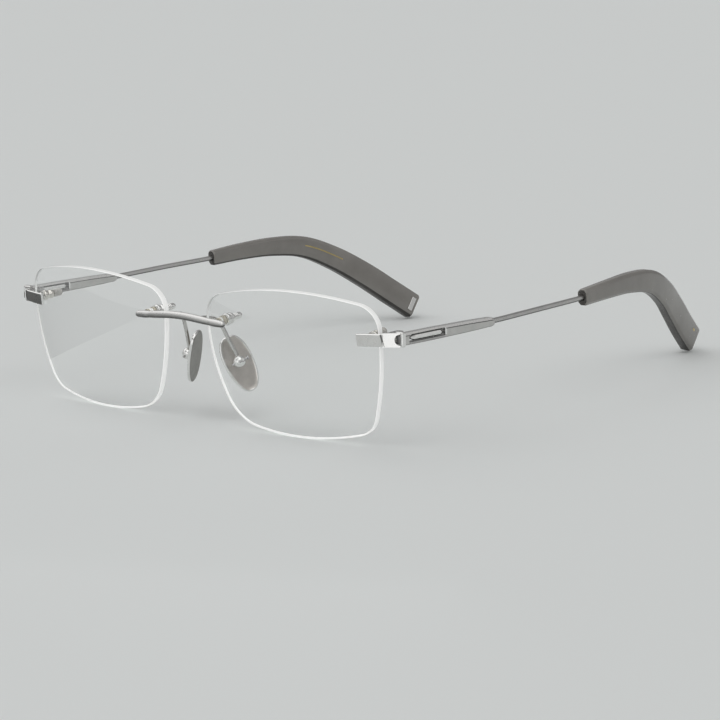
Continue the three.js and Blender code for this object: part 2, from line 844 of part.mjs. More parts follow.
function half(side) {
  const group = new THREE.Group();
  group.add(
    lensGroup(side),
    piece(`pad_arm_${side}`, padArm(), "titanium"),
    piece(`pad_box_${side}`, padBox(), "chrome"),
    piece(`pad_pin_${side}`, padPin(), "steel"),
    piece(`nose_pad_${side}`, nosePad(), "pad"),
    piece(`endpiece_${side}`, endpiece(), "titanium"),
    piece(`hinge_screw_${side}`, hingeScrew(), "steel"),
    piece(`hinge_slider_${side}`, slider(), "chrome"),
    piece(`flex_spring_${side}`, spring(), "steel"),
    piece(`temple_${side}`, temple(), "titanium"),
    piece(`temple_tip_${side}`, tip(), "acetate"),
    piece(`tip_inlay_${side}`, inlayPlate(0), "chrome"),
  );
  return group;
}

const frame = new THREE.Group();
const right = half("right");
right.scale.x = -1;
frame.add(piece("bridge", bridge(), "titanium"), half("left"), right);

// The origin is the bottom centre of the whole object.
frame.updateMatrixWorld(true);
const box = new THREE.Box3().setFromObject(frame, true);
frame.position.set(0, -(box.min.y + box.max.y) / 2, -box.min.z);
const group = new THREE.Group();
group.add(frame);

export default group;
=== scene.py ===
"""Rimless rectangular eyeglasses on a pale studio floor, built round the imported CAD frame."""

import math

import bmesh
import bpy
import numpy as np
from mathutils import Matrix, Vector


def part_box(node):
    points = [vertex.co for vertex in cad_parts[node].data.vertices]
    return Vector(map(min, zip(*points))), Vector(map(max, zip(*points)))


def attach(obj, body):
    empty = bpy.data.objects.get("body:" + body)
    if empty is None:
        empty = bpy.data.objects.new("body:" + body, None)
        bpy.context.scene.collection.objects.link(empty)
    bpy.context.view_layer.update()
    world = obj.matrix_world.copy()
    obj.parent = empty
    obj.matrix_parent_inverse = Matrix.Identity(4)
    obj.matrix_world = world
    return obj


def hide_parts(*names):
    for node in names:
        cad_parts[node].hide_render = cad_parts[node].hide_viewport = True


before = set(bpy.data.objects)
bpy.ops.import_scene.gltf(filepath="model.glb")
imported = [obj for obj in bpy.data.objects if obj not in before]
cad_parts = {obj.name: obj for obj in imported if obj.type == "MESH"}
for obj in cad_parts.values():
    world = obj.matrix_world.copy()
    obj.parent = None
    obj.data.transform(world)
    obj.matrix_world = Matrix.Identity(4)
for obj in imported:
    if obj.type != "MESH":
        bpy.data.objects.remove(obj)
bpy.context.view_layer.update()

# ---------------------------------------------------------------- dimensions (mm, as in part.mjs)

PIVOT = (66.3, 8.4)
SCREW_TOP = 28.95
low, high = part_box("hinge_screw_left")
SHIFT = Vector(
    (
        (low.x + high.x) * 500 - PIVOT[0],
        (low.y + high.y) * 500 - PIVOT[1],
        high.z * 1000 - SCREW_TOP,
    )
)

LENS_RADIUS = 130.0
LENS_THICK = 1.5
LENS_CENTRE = (36.34, -0.62, 18.73)
LENS_TILT = math.radians(5.34)
LENS_WRAP = math.radians(4.06)
LENS_CORNERS = (
    ((-28.23, 14.92), 3.82, 5.32),
    ((27.64, 15.33), 2.2, 4.89),
    ((22.9, -16.22), 2.58, 3.54),
    ((-20.55, -16.46), 2.63, 5.58),
)
CORNER_FULLNESS = 0.58

BRIDGE_AT = (-22.9, 9.15)
BRIDGE_LEAN = (-0.04, 0.0)
ENDPIECE_AT = (25.5, 8.25)
ENDPIECE_LEAN = (0.0, 0.17)

BRIDGE_LINE = (
    (0, -2.4, 28.6),
    (3.7, -2.39, 28.5),
    (7.6, -2.34, 28.22),
    (11.6, -2.24, 27.87),
    (16.4, -2.0, 27.6),
)
ARM_LINE = (
    (4.4, -1.5, 28.2),
    (4.85, 0.3, 27.95),
    (5.6, 2.7, 27.75),
    (6.7, 5.0, 27.1),
    (7.5, 6.3, 25.1),
    (8.3, 7.8, 21.2),
    (9.3, 9.25, 17.35),
)
PAD_CENTRE = (8.8, 10.5, 14.9)
PAD_DOWN = (0.37, 0.19, -0.91)
PAD_ACROSS = (0.32, 0.89, 0.31)
PAD_LONG, PAD_WIDE, PAD_THICK = 15.4, 7.9, 1.0
PAD_BOX_AT = (0.45, -0.55, 2.05)

BAR_LONG, BAR_HIGH, BAR_THICK = 8.1, 3.2, 0.7
BAR_AT = (62.52, 2.42, 27.3)
BAR_ROLL = math.radians(-1.7)
BAR_YAW = math.radians(8.5)
BAR_PITCH = math.radians(5.34)
PLATE_LOW, PLATE_HIGH = 25.8, 29.3
PLATE_FRONT = (66.35, 2.62)
PLATE_REAR = (70.1, 5.05)
PLATE_THICK = 1.15
NOTCH_RADIUS = 1.35
HINGE_RADIUS = 1.25
EARS = ((25.95, 26.8), (28.0, 28.85))

BLADE_AT = (69.3, 5.25, 27.6)
BLADE_END = (70.25, 39.6, 26.9)
BLADE_THICK = 2.35
BLADE_HALF_HEIGHTS = ((0, 1.5), (11, 1.5), (18, 1.42), (25, 1.32), (30.5, 1.14), (32.7, 0.98),
                      (33.3, 0.7))
FLANGE_LONG, FLANGE_PROUD, FLANGE_HIGH = 1.3, 0.12, 3.84
WINDOW = (2.5, 15.6, 2.2)
WIRE_RADIUS = 0.68

TIP_LINE = (
    (69.35, 75.2, 27.0),
    (68.5, 86.6, 27.4),
    (66.9, 97.8, 27.3),
    (65.0, 108.6, 25.8),
    (62.0, 118.4, 21.25),
    (58.4, 127.3, 15.2),
    (55.2, 135.6, 8.75),
    (52.7, 142.7, 3.35),
)
TIP_HEIGHTS = (4.3, 5.2, 6.6, 7.5, 7.6)
TIP_THICKS = (3.0, 4.0)
TIP_CHAMFER = 0.75
CORE_END = 0.84
INLAY_AT, INLAY_LONG, INLAY_HIGH = 0.979, 1.5, 4.2
INLAY_DEEP, INLAY_PROUD = 0.5, 0.12

# ---------------------------------------------------------------- materials


def node_material(name):
    mat = bpy.data.materials.new(name)
    mat.use_nodes = True
    return mat, mat.node_tree, mat.node_tree.nodes["Principled BSDF"]


def ramp(nt, source, stops):
    node = nt.nodes.new("ShaderNodeValToRGB")
    nt.links.new(source, node.inputs[0])
    while len(node.color_ramp.elements) < len(stops):
        node.color_ramp.elements.new(0.5)
    for element, (at, colour) in zip(node.color_ramp.elements, stops):
        element.position = at
        element.color = (*colour, 1) if len(colour) == 3 else colour
    return node.outputs["Color"]


def grey(value):
    return (value, value, value)


def noise(nt, scale, stretch=(1, 1, 1), detail=3.0, rough=0.55):
    """Noise in object space, in features per millimetre."""
    where = nt.nodes.new("ShaderNodeTexCoord")
    mapping = nt.nodes.new("ShaderNodeMapping")
    mapping.inputs["Scale"].default_value = tuple(1000 * s for s in stretch)
    nt.links.new(where.outputs["Object"], mapping.inputs["Vector"])
    node = nt.nodes.new("ShaderNodeTexNoise")
    node.inputs["Scale"].default_value = scale
    node.inputs["Detail"].default_value = detail
    node.inputs["Roughness"].default_value = rough
    nt.links.new(mapping.outputs["Vector"], node.inputs["Vector"])
    return node.outputs["Fac"]


def bump(nt, shader, height, strength, distance_mm):
    node = nt.nodes.new("ShaderNodeBump")
    node.inputs["Strength"].default_value = strength
    node.inputs["Distance"].default_value = distance_mm / 1000
    nt.links.new(height, node.inputs["Height"])
    nt.links.new(node.outputs["Normal"], shader.inputs["Normal"])


def painted_facing_tone(nt, axis, stops):
    """A tone that depends on how far a face looks along one axis of the object, from -1 to 1; it
    paints light and shade by the way a face is turned.
    """
    where = nt.nodes.new("ShaderNodeTexCoord")
    parts = nt.nodes.new("ShaderNodeSeparateXYZ")
    nt.links.new(where.outputs["Normal"], parts.inputs[0])
    spread = nt.nodes.new("ShaderNodeMapRange")
    spread.inputs["From Min"].default_value = -1.0
    nt.links.new(parts.outputs[axis], spread.inputs["Value"])
    return ramp(nt, spread.outputs["Result"], [((at + 1) / 2, grey(tone)) for at, tone in stops])


def times(nt, a, b, blend="MULTIPLY"):
    """Two colours multiplied, or mixed by another blend."""
    node = nt.nodes.new("ShaderNodeMix")
    node.data_type = "RGBA"
    node.blend_type = blend
    node.inputs["Factor"].default_value = 1.0
    nt.links.new(a, node.inputs["A"])
    nt.links.new(b, node.inputs["B"])
    return node.outputs["Result"]


def metal(name, colour, rough, grain, stretch=(1, 1, 1), grain_mm=0.01, spread=0.06, tint=0.05,
          under=1.0, turn=-0.12):
    mat, nt, shader = node_material(name)
    shader.inputs["Metallic"].default_value = 1.0
    cloud = noise(nt, 0.35, detail=4)
    dark = tuple(c * (1 - tint) for c in colour)
    light = tuple(min(1, c * (1 + tint)) for c in colour)
    tone = ramp(nt, cloud, ((0.3, dark), (0.7, light)))
    # Painted shade: with under below 1, faces that look further down than turn are darkened.
    if under < 1:
        tone = times(nt, tone, painted_facing_tone(nt, "Z", ((turn - 0.45, under), (turn, 1.0))))
    nt.links.new(tone, shader.inputs["Base Color"])
    fine = noise(nt, grain, stretch, detail=2)
    spots = ramp(nt, fine, ((0.3, grey(max(rough - spread, 0.02))), (0.72, grey(rough + spread))))
    nt.links.new(spots, shader.inputs["Roughness"])
    bump(nt, shader, fine, 0.35, grain_mm)
    return mat


def satin():
    # Painted shade: faces of the satin titanium turned down are darker (under).
    return metal("satin_titanium", (0.60, 0.595, 0.58), 0.33, 5.0, (1, 0.25, 1), 0.012, under=0.45)


def polished(name="polished_chrome", colour=(0.83, 0.83, 0.815)):
    return metal(name, colour, 0.09, 1.6, grain_mm=0.003, spread=0.035, tint=0.02)


def acetate(name, shades, gloss=0.3):
    """Smoky translucent plastic with a soft cloudy tone."""
    mat, nt, shader = node_material(name)
    cloud = noise(nt, 0.07, detail=4, rough=0.6)
    nt.links.new(ramp(nt, cloud, tuple(zip((0.3, 0.52, 0.75), shades))),
                 shader.inputs["Base Color"])
    shader.inputs["IOR"].default_value = 1.49
    shader.inputs["Coat Weight"].default_value = gloss
    shader.inputs["Specular IOR Level"].default_value = 0.25 + gloss * 0.8
    shader.inputs["Coat Roughness"].default_value = 0.08
    smear = noise(nt, 0.9, detail=3)
    nt.links.new(ramp(nt, smear, ((0.3, grey(0.16)), (0.8, grey(0.3)))), shader.inputs["Roughness"])
    bump(nt, shader, smear, 0.1, 0.02)
    return mat


def clear_plastic(name, dark, light):
    mat, nt, shader = node_material(name)
    cloud = noise(nt, 0.8)
    nt.links.new(ramp(nt, cloud, ((0.3, dark), (0.7, light))), shader.inputs["Base Color"])
    shader.inputs["Transmission Weight"].default_value = 0.55
    shader.inputs["IOR"].default_value = 1.46
    nt.links.new(ramp(nt, cloud, ((0.3, grey(0.16)), (0.8, grey(0.3)))), shader.inputs["Roughness"])
    bump(nt, shader, cloud, 0.1, 0.02)
    return mat


def lens_glass():
    mat, nt, shader = node_material("lens_clear")
    shader.inputs["Base Color"].default_value = (0.985, 0.99, 0.988, 1)
    shader.inputs["Transmission Weight"].default_value = 1.0
    shader.inputs["IOR"].default_value = 1.5
    smudge = noise(nt, 0.06, detail=3)
    nt.links.new(
        ramp(nt, smudge, ((0.45, grey(0.0)), (0.8, grey(0.02)))), shader.inputs["Roughness"]
    )
    return mat


def lens_edge():
    """The polished edge, with a painted glow and a painted tone: it glows most on faces turned
    towards -X, less on faces turned up, and least at the upper corner on the -X side, where its
    colour is darkest.
    """
    mat, nt, shader = node_material("lens_edge_painted_glow")
    where = nt.nodes.new("ShaderNodeTexCoord")
    slope = nt.nodes.new("ShaderNodeVectorMath")
    slope.operation = "DOT_PRODUCT"
    slope.inputs[1].default_value = (-0.45, 0, 0.7)
    nt.links.new(where.outputs["Generated"], slope.inputs[0])
    height = slope.outputs["Value"]
    # Painted tone: the base colour is darkest at the upper corner on the -X side.
    tone = ramp(
        nt,
        height,
        ((0.0, (0.96, 0.965, 0.95)), (0.45, (0.9, 0.91, 0.89)), (0.55, (0.8, 0.81, 0.8)),
         (0.63, (0.7, 0.72, 0.71))),
    )
    nt.links.new(tone, shader.inputs["Base Color"])
    # Painted glow: emission set by position and by the way the face is turned.
    glow = ramp(nt, height, ((0.0, grey(1.0)), (0.5, grey(0.85)), (0.6, grey(0.25))))
    side = painted_facing_tone(nt, "X", ((-0.9, 0.5), (-0.3, 0.3), (0.4, 0.3), (0.9, 0.22)))
    upper = painted_facing_tone(nt, "Z", ((0.3, 1.0), (0.85, 0.4)))
    nt.links.new(times(nt, times(nt, glow, side), upper), shader.inputs["Emission Color"])
    shader.inputs["Emission Strength"].default_value = 1.0
    cloud = noise(nt, 0.5, detail=3)
    nt.links.new(ramp(nt, cloud, ((0.3, grey(0.28)), (0.8, grey(0.42)))),
                 shader.inputs["Roughness"])
    shader.inputs["IOR"].default_value = 1.5
    bump(nt, shader, cloud, 0.15, 0.02)
    return mat


def slider_metal():
    """Polished piston and arm; the knuckle round the pivot is painted dark as shade in the hinge
    gap.
    """
    mat = polished("slider_chrome_painted_shade")
    nt, shader = mat.node_tree, mat.node_tree.nodes["Principled BSDF"]
    where = nt.nodes.new("ShaderNodeTexCoord")
    parts = nt.nodes.new("ShaderNodeSeparateXYZ")
    nt.links.new(where.outputs["Object"], parts.inputs[0])
    out = nt.nodes.new("ShaderNodeMath")
    out.operation = "ABSOLUTE"
    nt.links.new(parts.outputs["X"], out.inputs[0])
    spread = nt.nodes.new("ShaderNodeMapRange")
    spread.inputs["From Min"].default_value = 0.0674
    spread.inputs["From Max"].default_value = 0.0684
    nt.links.new(out.outputs["Value"], spread.inputs["Value"])
    # Painted shade: where |x| is under 67.4 mm the colour drops to near black, darkening the
    # knuckle in the hinge gap.
    dark = ramp(nt, spread.outputs["Result"], ((0.0, grey(0.1)), (1.0, grey(1.0))))
    plain = shader.inputs["Base Color"].links[0].from_socket
    nt.links.new(times(nt, plain, dark), shader.inputs["Base Color"])
    return mat


SATIN = satin()
CHROME = polished()
STEEL = metal("screw_steel", (0.5, 0.5, 0.5), 0.26, 4.0, grain_mm=0.006)
PAD_METAL = metal("pad_titanium", (0.5, 0.47, 0.435), 0.36, 6.0, grain_mm=0.03, spread=0.08,
                  tint=0.14)
# A darker copy of the pad titanium: painted shade on one face of the pads.
PAD_PAINTED_SHADE = metal("pad_dark", (0.29, 0.285, 0.27), 0.4, 6.0, grain_mm=0.03, spread=0.08, tint=0.14)
INLAY_METAL = metal("inlay_metal", (0.92, 0.915, 0.9), 0.35, 5.0, grain_mm=0.006)
ARM_METAL = metal("arm_titanium", (0.58, 0.575, 0.56), 0.2, 5.0, grain_mm=0.006)
GOLD_CHROME = polished("tinted_chrome", (0.84, 0.815, 0.76))
GILT = metal("gilt", (0.62, 0.5, 0.22), 0.35, 3.0)
ACETATE = acetate("smoky_acetate",
                  ((0.185, 0.175, 0.162), (0.22, 0.21, 0.195), (0.26, 0.248, 0.23)))
# A darker copy of the smoky acetate: painted shade on the undersides and ends of the tips.
ACETATE_PAINTED_SHADE = acetate("acetate_painted_shade",
                       ((0.035, 0.034, 0.032), (0.06, 0.057, 0.054), (0.09, 0.085, 0.08)), 0.0)
SLEEVE = clear_plastic("clear_sleeve", (0.80, 0.78, 0.73), (0.9, 0.885, 0.85))
AMBER_SLEEVE = clear_plastic("amber_sleeve", (0.82, 0.77, 0.64), (0.9, 0.86, 0.74))
# Painted shade: faces of the rod turned down are darker (under).
ROD_SATIN = metal("rod_satin", (0.56, 0.555, 0.545), 0.33, 5.0, (1, 0.25, 1), 0.008, under=0.25)
# Near-black steel used as painted shade in recesses, creases and gaps: the walls of the notch and
# the window, the bend sheet, the step on the blade and the barrel in the notch.
PAINTED_SHADE_STEEL = metal("steel_painted_shade", (0.2, 0.198, 0.195), 0.3, 4.0, grain_mm=0.006)
# A lighter copy of the satin titanium: painted light on the face of the bar and the top facets of
# the blade; faces turned down carry painted shade.
PAINTED_LIGHT_SATIN = metal("satin_painted_light", (0.74, 0.735, 0.72), 0.3, 5.0, (0.25, 1, 1), 0.006, 0.04, 0.03,
                     under=0.3)
# Painted shade: faces of the bridge turned down are darker (under, from turn).
BRIDGE_SATIN = metal(
    "bridge_satin", (0.72, 0.715, 0.7), 0.3, 5.0, (0.25, 1, 1), 0.006, 0.04, 0.03, under=0.2,
    turn=0.15
)
GLASS = lens_glass()
PAINTED_GLOW_EDGE = lens_edge()

# ---------------------------------------------------------------- geometry helpers


def steps(count, start=0.0, end=1.0):
    return [start + (end - start) * i / count for i in range(count + 1)]


def smooth_table(pairs, x):
    """A monotone smooth curve through the pairs."""
    xs = np.array([p[0] for p in pairs], float)
    ys = np.array([p[1] for p in pairs], float)
    slopes = np.gradient(ys, xs)
    i = int(np.clip(np.searchsorted(xs, x) - 1, 0, len(xs) - 2))
    h = xs[i + 1] - xs[i]
    t = np.clip((x - xs[i]) / h, 0, 1)
    a = 2 * t**3 - 3 * t**2 + 1
    b = t**3 - 2 * t**2 + t
    c = -2 * t**3 + 3 * t**2
    d = t**3 - t**2
    return float(a * ys[i] + b * h * slopes[i] + c * ys[i + 1] + d * h * slopes[i + 1])


def catmull(points, count):
    """Points spread evenly along the centripetal curve through the given ones, with tangents."""
    p = [np.array(q, float) for q in points]
    p = [2 * p[0] - p[1], *p, 2 * p[-1] - p[-2]]
    dense = []
    for i in range(1, len(p) - 2):
        p0, p1, p2, p3 = p[i - 1 : i + 3]
        d0, d1, d2 = (max(np.linalg.norm(b - a), 1e-9) ** 0.5
                      for a, b in ((p0, p1), (p1, p2), (p2, p3)))
        t1 = ((p1 - p0) / d0 - (p2 - p0) / (d0 + d1) + (p2 - p1) / d1) * d1
        t2 = ((p2 - p1) / d1 - (p3 - p1) / (d1 + d2) + (p3 - p2) / d2) * d1
        for t in steps(60)[: 61 if i == len(p) - 3 else 60]:
            a, b = 2 * t**3 - 3 * t**2 + 1, t**3 - 2 * t**2 + t
            c, d = -2 * t**3 + 3 * t**2, t**3 - t**2
            dense.append(a * p1 + b * t1 + c * p2 + d * t2)
    dense = np.array(dense)
    length = np.concatenate(([0], np.cumsum(np.linalg.norm(np.diff(dense, axis=0), axis=1))))
    at = np.linspace(0, length[-1], count)
    line = np.stack([np.interp(at, length, dense[:, k]) for k in range(3)], axis=1)
    tangents = np.gradient(line, axis=0)
    return line, tangents / np.linalg.norm(tangents, axis=1)[:, None], length[-1]


def loft(rings, caps=True):
    """Vertices and faces over closed rings of the same number of points."""
    n = len(rings[0])
    verts = [tuple(v) for ring in rings for v in ring]
    faces = []
    for r in range(len(rings) - 1):
        for i in range(n):
            j = (i + 1) % n
            faces.append((r * n + i, r * n + j, (r + 1) * n + j, (r + 1) * n + i))
    if caps:
        faces.append(tuple(reversed(range(n))))
        faces.append(tuple(range((len(rings) - 1) * n, len(rings) * n)))
    return verts, faces


def revolve(profile, sides=48):
    """A turned body on the Y axis from [radius, y] points that start and end on the axis."""
    verts, faces = [], []
    start = (0.0, profile[0][1], 0.0)
    end = (0.0, profile[-1][1], 0.0)
    inner = profile[1:-1]
    for r, y in inner:
        for k in range(sides):
            a = 2 * math.pi * k / sides
            verts.append((r * math.cos(a), y, r * math.sin(a)))
    for i in range(len(inner) - 1):
        for k in range(sides):
            j = (k + 1) % sides
            faces.append((i * sides + k, i * sides + j, (i + 1) * sides + j, (i + 1) * sides + k))
    first, last = len(verts), len(verts) + 1
    verts += [start, end]
    top = (len(inner) - 1) * sides
    for k in range(sides):
        j = (k + 1) % sides
        faces.append((k, first, j))
        faces.append((top + k, top + j, last))
    return verts, faces


def rounded_profile(profile, radius, cuts=4):
    """The profile with its inner corners rounded."""
    points = [np.array(p, float) for p in profile]
    out = [points[0]]
    for before, corner, after in zip(points, points[1:], points[2:]):
        a, b = before - corner, after - corner
        la, lb = np.linalg.norm(a), np.linalg.norm(b)
        reach = min(radius, 0.45 * la, 0.45 * lb)
        start, end = corner + a / la * reach, corner + b / lb * reach
        for t in steps(cuts):
            out.append((1 - t) ** 2 * start + 2 * t * (1 - t) * corner + t * t * end)
    out.append(points[-1])
    return [tuple(p) for p in out]


def rounded_rect(wide, high, radius, cuts=5):
    """Points of a rounded rectangle, anticlockwise from its right side."""
    points = []
    for cx, cy, start in ((1, 1, 0), (-1, 1, 90), (-1, -1, 180), (1, -1, 270)):
        for t in steps(cuts):
            a = math.radians(start + 90 * t)
            x = cx * (wide / 2 - radius) + radius * math.cos(a)
            y = cy * (high / 2 - radius) + radius * math.sin(a)
            points.append((x, y))
    return points


def ellipse(half_wide, half_high, sides=32):
    return [
        (half_wide * math.cos(2 * math.pi * k / sides),
         half_high * math.sin(2 * math.pi * k / sides))
        for k in range(sides)
    ]


def outward(mesh):
    bm = bmesh.new()
    bm.from_mesh(mesh)
    bmesh.ops.recalc_face_normals(bm, faces=bm.faces)
    bm.to_mesh(mesh)
    bm.free()


def make(name, geometry, materials, place=None, mirror=False, pick=None, smooth=30):
    """An object in metres from millimetre geometry of the left half.

    pick chooses a face's material.
    """
    verts, faces = geometry[:2]
    kinds = geometry[2] if len(geometry) > 2 else None
    place = place or Matrix.Identity(4)
    world = []
    for v in verts:
        p = place @ Vector(v) + SHIFT
        world.append(((-p.x if mirror else p.x) / 1000, p.y / 1000, p.z / 1000))
    mesh = bpy.data.meshes.new(name)
    mesh.from_pydata(world, [], [tuple(reversed(f)) for f in faces] if mirror else faces)
    outward(mesh)
    for mat in materials:
        mesh.materials.append(mat)
    if kinds:
        mesh.polygons.foreach_set("material_index", kinds)
    if pick:
        local = [Vector(v) for v in verts]
        for poly in mesh.polygons:
            corners = [local[i] for i in poly.vertices]
            centre = sum(corners, Vector()) / len(corners)
            poly.material_index = pick(centre)
    obj = bpy.data.objects.new(name, mesh)
    bpy.context.scene.collection.objects.link(obj)
    mesh.shade_smooth()
    mesh.set_sharp_from_angle(angle=math.radians(smooth))
    return obj


def apply_modifiers(obj):
    graph = bpy.context.evaluated_depsgraph_get()
    mesh = bpy.data.meshes.new_from_object(obj.evaluated_get(graph))
    obj.modifiers.clear()
    obj.data = mesh


def subtract(obj, *tools):
    for tool in tools:
        mod = obj.modifiers.new("cut", "BOOLEAN")
        mod.operation = "DIFFERENCE"
        mod.solver = "EXACT"
        mod.object = tool
    apply_modifiers(obj)
    for tool in tools:
        bpy.data.objects.remove(tool)


def bevel(obj, width_mm, segments=3, angle=35, harden=True):
    mod = obj.modifiers.new("bevel", "BEVEL")
    mod.width = width_mm / 1000
    mod.segments = segments
    mod.limit_method = "ANGLE"
    mod.angle_limit = math.radians(angle)
    mod.harden_normals = harden


def finish(obj, body, slot, *nodes):
    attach(obj, body)
    if nodes:
        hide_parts(*nodes)
    return obj


def both(name, build, materials, body, slot, place=None, nodes=(), pick=None, smooth=30,
         after=None):
    """The same piece for the left and the right half."""
    geometry = build()
    made = []
    for side, mirror in (("left", False), ("right", True)):
        obj = make(f"{name}_{side}_look", geometry, materials, place, mirror, pick, smooth)
        if after:
            after(obj, mirror)
        finish(obj, body.format(side=side), slot, *[f"{n}_{side}" for n in nodes])
        made.append(obj)
    return made


# ---------------------------------------------------------------- lenses


def lens_outline(per_side=26, per_corner=16):
    corners = [np.array(c[0]) for c in LENS_CORNERS]
    sides = []
    for i, (_, swell, _) in enumerate(LENS_CORNERS):
        a, b = corners[i], corners[(i + 1) % 4]
        run = b - a
        out = np.array((-run[1], run[0])) / np.linalg.norm(run)
        sides.append((a, (a + b) / 2 + 2 * swell * out, b, np.linalg.norm(run)))

    def point(side, t):
        a, c, b, _ = side
        return (1 - t) ** 2 * a + 2 * t * (1 - t) * c + t * t * b

    def tangent(side, t):
        a, c, b, _ = side
        d = 2 * (1 - t) * (c - a) + 2 * t * (b - c)
        return d / np.linalg.norm(d)

    outline = []
    for i, side in enumerate(sides):
        nxt = sides[(i + 1) % 4]
        start = LENS_CORNERS[i][2] / side[3]
        end = 1 - LENS_CORNERS[(i + 1) % 4][2] / side[3]
        entry = LENS_CORNERS[(i + 1) % 4][2] / nxt[3]
        outline += [point(side, t) for t in steps(per_side, start, end)]
        a, b = point(side, end), point(nxt, entry)
        ta, tb = tangent(side, end), tangent(nxt, entry)
        d = b - a
        reach = (d[0] * tb[1] - d[1] * tb[0]) / (ta[0] * tb[1] - ta[1] * tb[0])
        tip = a + ta * reach
        ca, cb = a + (tip - a) * CORNER_FULLNESS, b + (tip - b) * CORNER_FULLNESS
        for t in steps(per_corner)[1:-1]:
            outline.append(
                (1 - t) ** 3 * a + 3 * t * (1 - t) ** 2 * ca + 3 * t * t * (1 - t) * cb + t**3 * b
            )
    return np.array(outline)


def sag(r, radius):
    return radius - math.sqrt(radius * radius - r * r)


def inset(outline, distance):
    before, after = np.roll(outline, 1, axis=0), np.roll(outline, -1, axis=0)
    run = after - before
    normal = np.stack((run[:, 1], -run[:, 0]), axis=1)
    normal /= np.linalg.norm(normal, axis=1)[:, None]
    return outline + normal * distance


def lens():
    """Two spherical faces and a polished edge with a small safety chamfer."""
    outline = lens_outline()
    if np.sum(outline[:, 0] * np.roll(outline[:, 1], -1) - outline[:, 1]
              * np.roll(outline[:, 0], -1)) > 0:
        outline = outline[::-1]
    chamfer = 0.16
    inner = inset(outline, chamfer)
    shares = (0.0, 0.08, 0.18, 0.3, 0.42, 0.54, 0.66, 0.77, 0.86, 0.93, 0.985)

    def front(x, z):
        return sag(math.hypot(x, z), LENS_RADIUS)

    def back(x, z):
        return sag(math.hypot(x, z), LENS_RADIUS - LENS_THICK) + LENS_THICK

    rings = []
    for s in shares[1:]:
        rings.append([(x * s, front(x * s, z * s), z * s) for x, z in inner])
    rings.append([(x, front(x, z), z) for x, z in inner])
    for t in (0.0, 0.2, 0.5, 0.8, 1.0):
        ring = []
        for x, z in outline:
            lo, hi = front(x, z) + chamfer, back(x, z) - chamfer
            ring.append((x, lo + (hi - lo) * t, z))
        rings.append(ring)
    rings.append([(x, back(x, z), z) for x, z in inner])
    for s in reversed(shares[1:]):
        rings.append([(x * s, back(x * s, z * s), z * s) for x, z in inner])
    verts, faces = loft(rings, caps=False)
    n = len(outline)
    face_rings = len(shares) - 1
    kinds = [0 if i // n < face_rings or i // n >= len(rings) - face_rings else 1
             for i in range(len(faces))]
    first, last = len(verts), len(verts) + 1
    verts += [(0, 0, 0), (0, LENS_THICK, 0)]
    top = (len(rings) - 1) * n
    for i in range(n):
        j = (i + 1) % n
        faces.append((j, i, first))
        faces.append((top + i, top + j, last))
    return verts, faces, kinds + [0] * (2 * n)


LENS_PLACE = (
    Matrix.Translation(LENS_CENTRE) @ Matrix.Rotation(LENS_TILT, 4, "X")
    @ Matrix.Rotation(LENS_WRAP, 4, "Z")
)


def mount_place(at, lean):
    y = sag(math.hypot(*at), LENS_RADIUS)
    turn = Matrix.Rotation(lean[0], 4, "X") @ Matrix.Rotation(lean[1], 4, "Z")
    return LENS_PLACE @ Matrix.Translation((at[0], y, at[1])) @ turn


MOUNTS = {
    "bridge": mount_place(BRIDGE_AT, BRIDGE_LEAN),
    "endpiece": mount_place(ENDPIECE_AT, ENDPIECE_LEAN),
}


def cylinder(radius, start, end, sides=48):
    return revolve([(0, start), (radius, start), (radius, end), (0, end)], sides)


def drill(obj, mirror):
    tools = [
        make("drill", cylinder(1.0, -3, 6), [PAINTED_GLOW_EDGE], place, mirror) for place in MOUNTS.values()
    ]
    subtract(obj, *tools)
    obj.data.set_sharp_from_angle(angle=math.radians(20))


for lens_obj in both(
    "lens", lens, [GLASS, PAINTED_GLOW_EDGE], "front", "lens_clear", LENS_PLACE, ["lens"], smooth=20, after=drill
):
    lens_obj.visible_shadow = False

# ---------------------------------------------------------------- lens mounts


def thread(radius, start, end, pitch=0.35, depth=0.06):
    profile = [(0, start), (radius - depth, start)]
    y = start
    while y + pitch < end:
        profile += [(radius - depth, y + 0.02), (radius, y + pitch / 2)]
        y += pitch
    profile += [(radius - depth, y + 0.02), (radius - depth, end), (0, end)]
    return revolve(profile, 28)


def hex_nut(start, end, radius):
    """A polished hexagon between two rounded shoulders."""
    long = end - start
    rings = []
    shape = (
        (0.0, 0.80, 0),
        (0.05, 0.94, 0),
        (0.14, 1.0, 0),
        (0.27, 1.0, 0),
        (0.36, 0.90, 0.2),
        (0.44, 0.80, 0.7),
        (0.52, 0.80, 1),
        (0.60, 0.88, 1),
        (0.72, 0.94, 0.8),
        (0.84, 0.88, 0.5),
        (0.94, 0.76, 0.2),
        (1.0, 0.62, 0),
    )
    for t, r, six in shape:
        ring = []
        for k in range(48):
            a = 2 * math.pi * k / 48
            turn = (a % (math.pi / 3)) - math.pi / 6
            flat = math.cos(math.pi / 6) / math.cos(turn) * 1.06
            scale = radius * r * ((1 - six) + six * min(1.0, flat))
            ring.append((scale * math.cos(a), start + t * long, scale * math.sin(a)))
        rings.append(ring)
    return loft(rings)


def ribbed_cap(start, end, radius, ribs):
    long = end - start
    profile = [(0, start), (radius * 0.94, start), (radius, start + 0.06)]
    y = start + 0.25
    for _ in range(ribs):
        profile += [(radius, y), (radius * 0.88, y + 0.1), (radius * 0.88, y + 0.2),
                    (radius, y + 0.3)]
        y += 0.48
    for t in steps(8):
        a = t * math.pi / 2
        dome = start + long * 0.72
        profile.append((radius * math.cos(a) if t < 1 else 0.0, dome + (end - dome) * math.sin(a)))
    return revolve(rounded_profile(profile, 0.05, 2), 40)


def washer(start, end, radius):
    return revolve(rounded_profile([(0, start), (radius, start), (radius, end), (0, end)], 0.08),
                   48)


